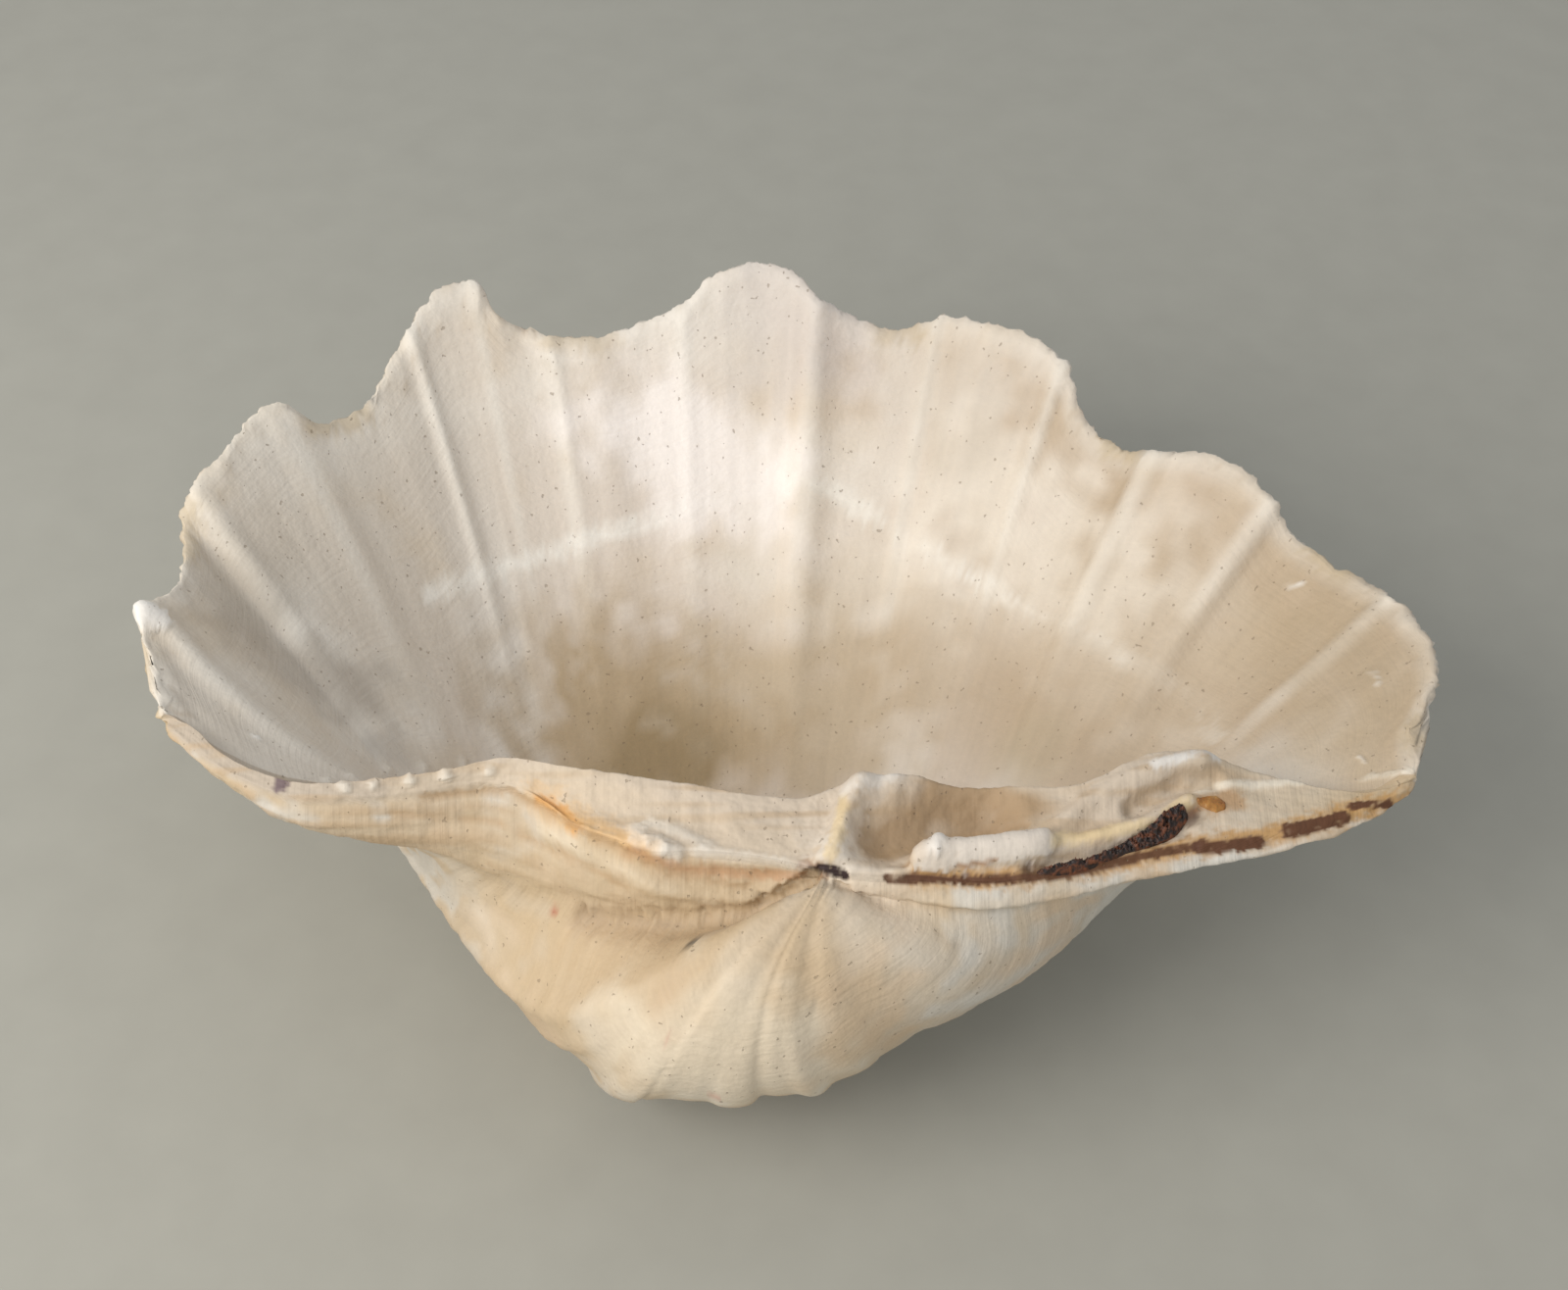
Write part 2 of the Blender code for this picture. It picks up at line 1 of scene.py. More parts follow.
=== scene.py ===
# %% [markdown]
# # The looks of a giant clam shell
# One valve lies with its hollow up. The solid of the shell is rebuilt here as a fine mesh from
# the same growth rule, and gets its fine relief, its colours and the dried ligament.
# Tables are in millimetres in the growth frame: origin at the beak, +X to the ligament end,
# +Y to the scalloped lips, +Z out of the hollow.

import math

import bmesh
import bpy
import numpy as np
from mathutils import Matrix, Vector, noise
from mathutils.bvhtree import BVHTree


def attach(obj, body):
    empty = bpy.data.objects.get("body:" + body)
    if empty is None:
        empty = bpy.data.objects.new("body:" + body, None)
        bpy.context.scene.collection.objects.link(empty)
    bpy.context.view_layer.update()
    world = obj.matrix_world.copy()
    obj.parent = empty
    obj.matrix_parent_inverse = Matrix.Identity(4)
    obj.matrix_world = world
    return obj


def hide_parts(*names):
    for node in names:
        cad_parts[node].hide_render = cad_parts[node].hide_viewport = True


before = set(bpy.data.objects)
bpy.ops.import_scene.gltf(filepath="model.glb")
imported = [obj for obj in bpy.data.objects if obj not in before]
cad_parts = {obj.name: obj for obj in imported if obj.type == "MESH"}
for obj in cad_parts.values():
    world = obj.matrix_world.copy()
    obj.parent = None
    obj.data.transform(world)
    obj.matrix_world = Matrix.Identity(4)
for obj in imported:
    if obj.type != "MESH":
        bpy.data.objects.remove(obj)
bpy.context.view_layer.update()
print("solids:", sorted(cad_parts))

# %% [markdown]
# ## Where it lies and how fine it is
# The beak is placed as in the solid. The steps are about one millimetre apart.

# %%
MM = 0.001
BEAK_AT = (8.55, -83.85, 83.6)
COLUMNS = 420            # steps along the shell, byssal end to ligament end
FLARE_STEPS = 14
BODY_STEPS = 68
PLATE_STEPS = 42
WALL_STEPS = 16
BOWL_STEPS = 78
OUTER_ROWS = FLARE_STEPS + BODY_STEPS
INNER_ROWS = PLATE_STEPS + WALL_STEPS + BOWL_STEPS
SOFTENING_PASSES = 2
STRIP_STEPS = 22
LONG_EDGE = 0.8          # edges of the band round the lips above this are cut
EDGE_CUTS = 2
WELD = 0.02              # points closer than this become one

# Thickness of the shell wall, and how its edges are shaped
LIP_THICKNESS = 2.4
BOWL_THICKNESS = 8.5
LEAST_WALL = 2.0         # the wall is never thinner than this where a fold comes in
EDGE_ROUND = 1.2         # how far the hinge edge is rounded
EDGE_CROWDING = 1.3      # above 1, the columns crowd towards the beak along the hinge edge
THINNING = (0.35, 0.98)  # shares of full size between which the wall thins to the lip

# How finely curves are looked up, and the step that finds which way a face looks
CURVE_SAMPLES = 601
RAIL_SAMPLES = 401
TURN_SAMPLES = 241
DIRECTION_STEP = 0.002
print("about", COLUMNS * (OUTER_ROWS + INNER_ROWS) * 2, "triangles planned")

# %% [markdown]
# ## How the shell coils as it grows
# Each growth line is the rim, made smaller and turned about the hinge.

# %%
# How the growth lines coil: share of full size, degrees turned about the hinge axis
TURN = [(0.0, 168.0), (0.06, 163.0), (0.12, 154.0), (0.2, 137.0), (0.3, 113.0), (0.4, 86.0),
        (0.5, 62.0), (0.6, 43.0), (0.7, 28.5), (0.8, 16.5), (0.9, 7.4), (1.0, 0.0)]
TURN_SCALE = 160.0       # degrees that weigh as much as the full size when the coil is eased
SIDE_DEPTH = 0.62        # how much the width of the shell adds to its depth at the sides
SIDE_SWELL = 0.16        # how much wider the belly is than straight growth at the byssal side
SWIRL = 19.0             # sideways sweep of the ribs towards the byssal end
SWIRL_START = 0.12       # share of full size by which the sweep has set in
SWIRL_EASE = 1.5         # power by which the sweep sets in and fades to the sides
print("coils through", TURN[0][1], "degrees")

# %% [markdown]
# ## The scalloped lips
# Points round the rim, with the ridges of the inner face that end at some of them.

# %%
# The lips, seen from above: x, y, z, from the byssal end round to the ligament end
RIM = [(-145.4, 42, 0), (-149.5, 55, 0), (-154.4, 65.4, 1), (-155.4, 73, 2), (-152.9, 78.9, -1),
       (-152, 97.7, -6), (-154.1, 110.1, -4), (-151.3, 115.2, 0), (-144.1, 129.4, 3),
       (-135.3, 142.4, 3), (-127.6, 142.9, -4), (-117.3, 152.1, -8), (-112.2, 161.3, -5),
       (-106.2, 174.1, 0), (-100.4, 182.8, 5), (-89.5, 188.1, 5), (-84.7, 182.5, -1),
       (-78.1, 182.1, -6), (-70.3, 181.3, -7), (-59.9, 180.5, -8), (-48.3, 184.9, -7),
       (-34.7, 189, -3), (-25.8, 194.4, 3), (-13.5, 196, 5), (-6.2, 193.9, 5), (1.6, 186.6, 1),
       (10.5, 185, -4), (23.5, 182.1, -6), (34.3, 182.5, -2), (45.8, 173.7, 3), (57, 167, 4),
       (64.8, 158.6, 2), (67.5, 149.2, -4), (72.7, 142.5, -7), (79, 135.2, -6), (85.6, 128.8, -1),
       (97.6, 122.7, 4), (110.3, 109, 2), (113.3, 104.4, -2), (123, 94.1, -4), (134, 77.3, 0),
       (136.8, 67.2, 3), (138.3, 54.4, 4), (134.7, 44, 2), (131.6, 39.2, 1), (128.7, 24.7, 0)]
# Which of those points are the ends of ridges on the inner face, and how tall each ridge is
RIDGES = {3: 1.0, 7: 1.6, 9: 1.4, 13: 1.5, 15: 1.2, 18: 1.6, 21: 0.6, 25: 1.8, 28: 1.0, 31: 1.4,
          35: 1.6, 37: 1.8, 40: 1.3}
RIDGE_WIDTH = 4.4
RIDGE_SPREAD = 1.4       # how much wider a ridge gets from the lip to the beak
RIDGE_FALL = 3.0         # how fast a ridge falls off to its sides
RIDGE_SIZES = (0.58, 0.90)   # shares of full size between which the ridges rise
RIDGE_SHARPNESS = 1.05   # how much taller the fine ridges are than those of the solid
WEAR_SAMPLES = 1201
WEAR_SPREAD = 0.035      # how far the scallops are averaged out, as a share of the rim
WEAR_CUT = 3             # spreads after which the averaging is cut off
SCALLOP_DEPTH = 10.0     # how far the scallops stand off the worn rim
BOWL_CENTRE = (-10.0, 70.0)
RIB_SWELL = 3.4          # how far the outer ribs stand out
RIB_STANDING = (-1.5, 5.0)   # how far out a scallop is where its rib starts and is full
RIB_ENDS = (0.06, 0.2)   # shares of the rim near its ends where the ribs start and are full
RIB_SIZES = (0.12, 0.5)  # shares of full size between which the ribs set in
RIB_FADE = (0.6, 0.97)   # and between which they fade towards the lips
BEAK_RELIEF = 0.5        # how much of the scallops the outer face keeps at the beak
RELIEF_SIZES = (0.35, 0.9)   # shares of full size between which the scallops grow full
FILLED_SIZES = (0.42, 1.0)   # shares of full size between which the bowl takes on the scallops
FOLD_SIDES = (2.0, -2.0) # scallop depth from which a place counts as a fold
print(len(RIM), "points round the lips,", len(RIDGES), "ridges")

# %% [markdown]
# ## The hinge edge, the crest of the plate and the crease
# Rails that the faces meet.

# %%
# The edge between the hinge plate and the outer face, and the plate's inner crest: x, y, z
HINGE_EDGE = [(-143.6, 39.0, 0), (-140.5, 36.2, 0), (-132.8, 29.5, 0), (-125.5, 24.9, 0),
              (-114.5, 19.9, 0), (-100.0, 19.2, 0), (-87.5, 20.4, 0), (-70.2, 23.0, 0),
              (-61.1, 19.6, 0), (-51.7, 11.7, 0), (-42.8, 8.1, 0), (-36.9, 5.4, 0),
              (-25.8, 5.4, 0), (-16.6, 4.5, 0), (-3.5, 1.5, 0), (0.0, 0.4, 0), (4.5, -0.3, 0),
              (21.0, -1.4, 0), (36.5, -2.4, 0), (50.4, 0.3, 0), (65.5, 4.0, 0), (80.4, 6.8, 0),
              (98.6, 10.2, 0), (116.6, 16.2, 0), (127.0, 22.0, 0)]
PLATE_CREST = [(-143.6, 42.4, 0.4), (-138.6, 40.0, 1), (-130.8, 32.5, 1), (-123.5, 27.9, 1),
               (-112.6, 23.3, 2), (-98.1, 22.9, 3), (-79.5, 25.4, 4), (-68.5, 27.6, 5),
               (-54.3, 25.5, 5), (-29.1, 21.8, 4), (-11.9, 19.1, 3), (-2.5, 18.8, 3),
               (3.5, 21.0, 4), (7.7, 22.6, 5), (14.8, 22.8, 6), (19.9, 23.6, 5),
               (25.6, 23.1, 3), (39.7, 22.8, 2), (56.0, 22.5, 3), (64.9, 26.0, 5),
               (70.3, 28.2, 6), (77.1, 28.6, 6), (84.3, 28.4, 5), (92.0, 26.9, 2),
               (104.0, 23.4, 1), (118.0, 21.4, 1), (127.4, 24.2, 1)]
CREST_OVERHANG = 3.0     # how far the plate's crest rounds over before the wall goes down
WALL_BELLY = (-0.12, 0.72)   # how far the wall has gone back and down at its bend
BOWL_START = 0.30        # fan row where the bowl begins

# Where the outer face meets the flare under the plate: the byssal crease, then the hinge side
BYSSAL_CREASE = [(0.0, 0.0, -0.5), (-5.0, -0.5, -5.0), (-12.0, -1.0, -9.0), (-22.0, -0.5, -12.0),
                 (-40.0, 2.5, -16.0), (-57.0, 9.0, -19.0), (-70.0, 14.0, -19.0),
                 (-85.0, 18.0, -16.0), (-100.0, 18.0, -12.0), (-115.0, 20.0, -8.0),
                 (-130.0, 29.0, -5.0), (-139.0, 37.0, -3.5), (-144.5, 40.5, -2.6)]
HINGE_UNDERSIDE = [(0.0, 0.0, -0.5), (8.0, -1.5, -4.0), (20.0, -2.5, -6.0), (36.0, -3.0, -7.0),
                   (50.0, -0.5, -7.0), (65.0, 3.5, -6.5), (80.0, 6.5, -5.5), (98.0, 10.5, -4.5),
                   (116.0, 16.5, -3.0), (128.0, 23.5, -1.6)]
PULL_REACH = 0.16        # share of the rim over which the growth surface is drawn to those rails
PULL_ENDS = 0.93         # share of full size from which the lips leave those rails
FLARE_SWELL = 3.0        # how far the fold of the flare stands out
FLARE_SIZES = (0.0, 0.3) # shares of full size between which that fold sets in

# The shell's lowest ribs are flat where it rests: the way up and how deep the flat lies
REST_UP = (0.0, 0.0, 1.0)
REST_DEPTH = -83.6
print(len(HINGE_EDGE), "points on the hinge edge")

# %% [markdown]
# ## Teeth, socket and grooves of the hinge plate
# Each is a line with a width and a height.

# %%
# What stands on the hinge plate or is sunk in it, seen from above: the x, y points of its line,
# its half width and its height
PLATE_SHAPES = {
    "cardinal tooth": ([(1.5, 2.5), (5.0, 11.0), (8.5, 20.0)], 5.0, 3.2),
    "socket": ([(14.0, 10.0), (24.0, 13.5), (34.0, 14.5)], 11.0, -6.0),
    "broken hinge tooth": ([(22.0, 3.6), (33.0, 4.6), (44.0, 5.6)], 5.2, 5.0),
    "lateral tooth": ([(48.0, 9.0), (56.0, 16.5), (64.0, 21.0), (73.0, 24.5), (82.0, 26.5)],
                      4.2, 2.4),
    "lateral groove": ([(66.0, 15.5), (75.0, 20.5), (84.0, 22.0)], 3.5, -2.2),
    "ligament ridge": ([(47.0, 6.5), (60.0, 9.0), (71.0, 13.0), (78.0, 17.0)], 3.0, 1.6),
    "ligament groove": ([(44.0, 1.8), (54.0, 3.6), (65.0, 7.0), (76.0, 11.5)], 3.2, -1.8),
    "byssal hollow": ([(-58.0, 20.0), (-42.0, 15.0), (-24.0, 12.0)], 7.0, -1.6),
}
PLATE_START = (0.0, 0.12)    # shares of the plate's width where those shapes set in
PLATE_END = (1.0, 1.5)   # and where they fade on the wall under the crest
print(len(PLATE_SHAPES), "shapes on the plate")

# %% [markdown]
# ## The dried ligament
# Its line along the hinge with widths and thicknesses.

# %%
# The dried ligament: its line along the hinge, then width and thickness at even steps along it
STRIP_LINE = [(44.5, 0.9), (52.0, 2.2), (59.4, 4.9), (64.5, 7.0), (71.6, 10.4), (77.5, 15.0)]
STRIP_WIDTHS = (1.2, 2.0, 2.2, 2.5, 2.8, 3.4, 4.4, 2.6)
STRIP_HEIGHTS = (0.9, 2.0, 1.7, 2.2, 2.0, 2.8, 3.2, 1.6)
CHIP_LINE = [(79.8, 17.2), (82.6, 17.1), (86.2, 16.8)]
CHIP_WIDTHS = (1.2, 3.2, 4.2, 1.6)
CHIP_HEIGHTS = (0.7, 1.1, 1.0, 0.7)
print("ligament has", len(STRIP_LINE), "points")

# %% [markdown]
# ## Amounts of relief, colours, light
# Each mark has a side, a reach, a colour, a strength, a rise and one or more paths.

# %%
# Heights of the fine relief
GROWTH_LINE_RELIEF = 0.28
RIBLET_RELIEF = 0.35
RAY_RELIEF = 0.13
PLATE_LUMPS = 0.3
BAND_RELIEF = 0.6
LIP_LUMPS = (0.3, 0.25)  # coarse and fine lumps on the lip
LIP_FRAY = 1.3           # how far the lip is frayed in and out
LIP_SIZES = (0.965, 0.995)   # shares of full size between which the lip sets in

# Noise that follows growth: waves round the rim, waves from beak to lip, and a seed
NOISE_GAIN = 1.6         # brings that noise to about -1 to 1
COARSE_LINES = (7, 75, 3.1)
FINE_LINES = (12, 170, 8.7)
RIBLETS = (26, 2, 5.3)
FINE_RAYS = (95, 2.5, 1.7)
BROAD_RAYS = (14, 9, 6.4)
PALE_STREAKS = (16, 2, 9.9)
OCHRE_BANDS = (9, 22, 2.2)
FINE_LINE_SHARE = 0.6    # height of the fine growth lines beside that of the coarse ones
COARSE_LINE_SIZES = (0.1, 0.4)   # shares of full size between which each of them sets in
FINE_LINE_SIZES = (0.3, 0.7)
RIBLET_SIZES = (0.3, 0.7)
RAY_SIZES = (0.6, 0.85)
HINGE_SIDE = (0.42, 0.6) # shares of the rim between which the riblets set in

# Waves per millimetre of the noise in space
LUMP_WAVES = 0.35
CRUMB_WAVES = 1.1
FRAY_WAVES = 0.22
BAND_WAVES = (0.03, 0.45, 0.45)
CLOUD_WAVES = 0.05
SMALL_CLOUD_WAVES = 0.16

# Colours, linear red, green and blue
INSIDE_CREAM = (0.69, 0.60, 0.51)
INSIDE_COOL = (0.57, 0.51, 0.42)
INSIDE_WARM = (0.47, 0.36, 0.24)
INSIDE_TAN = (0.45, 0.34, 0.22)
FLOOR_TAN = (0.50, 0.37, 0.21)
INSIDE_WHITE = (0.80, 0.75, 0.67)
PLATE_CREAM = (0.57, 0.47, 0.36)
PLATE_LEFT = (0.46, 0.38, 0.29)
PLATE_RIGHT = (0.46, 0.35, 0.22)
PLATE_OCHRE = (0.45, 0.32, 0.19)
OUTSIDE_PEACH = (0.51, 0.40, 0.27)
OUTSIDE_WHITE = (0.56, 0.53, 0.47)
OUTSIDE_ORANGE = (0.56, 0.41, 0.26)
OUTSIDE_OCHRE = (0.48, 0.36, 0.22)
CHALK = (0.80, 0.75, 0.66)
DIRT = (0.38, 0.28, 0.17)
GROUND_DARK = (0.335, 0.325, 0.280, 1.0)
GROUND_LIGHT = (0.375, 0.365, 0.315, 1.0)
WARM_PATCH = (0.56, 0.44, 0.29, 1.0)
PALE_PATCH = (0.82, 0.78, 0.70, 1.0)
SPECK = (0.22, 0.16, 0.10, 1.0)
BROWN_DARK = (0.016, 0.008, 0.006, 1.0)
BROWN_LIGHT = (0.15, 0.045, 0.015, 1.0)
AMBER_DARK = (0.26, 0.10, 0.015, 1.0)
AMBER_LIGHT = (0.45, 0.22, 0.05, 1.0)

# Chalky ridges: millimetres off a ridge, and shares of full size, between which they pale
RIDGE_CHALK = (4.5, 0.5)
CHALK_SIZES = (0.62, 0.88)

# Scales and steps of the shell's shader
RAY_WAVES = (150.0, 4.0)
LINE_WAVES = (10.0, 150.0)
GRAIN_SCALE = 700.0
BLOTCH_SCALE = 28.0
PALE_SCALE = 16.0
PIT_SCALE = 160.0
PORE_SCALE = 750.0
PORE_STEP = (0.73, 0.77)
WARM_STEP = (0.50, 0.70)
PALE_STEP = (0.52, 0.72)
BUMP_DISTANCE = 0.0008
SUBSURFACE_SCALE = 0.004

# Camera and light: the camera in millimetres and degrees, each lamp's place and width in
# metres, its power in watts and its colour
CAMERA_AT = (0.8, -351.35, 452.3)
CAMERA_ELEVATION = 48.0
LENS_MM = 50.0
SENSOR_MM = 36.0
LIGHTS_AIM = (0.0, 0.0, 0.04)
GROUND_SIZE = 6.0
GROUND_HEIGHT = -0.0002
SKY_COLOUR = (0.93, 0.96, 1.0, 1.0)
SKY_STRENGTH = 0.64
EXPOSURE = 0.0
LIGHTS = {
    "window": ((-0.75, -0.42, 0.70), 0.7, 9.0, (1.0, 0.97, 0.93)),
    "front_fill": ((-0.1, -1.25, 0.35), 1.0, 2.8, (1.0, 0.98, 0.95)),
}

# How the bowl is softened: near the folds at these points of the rim, and on the lower wall
TIGHT_FOLDS = (9, 15, 16, 17)
FOLD_REACH = 8.0
FOLD_PASSES = 60
BOWL_SIZES = (0.36, 0.993)   # shares of full size between which a fold is softened
SMOOTH_BELOW = 0.68      # share of full size under which the whole wall is softened
WALL_PASSES = 80

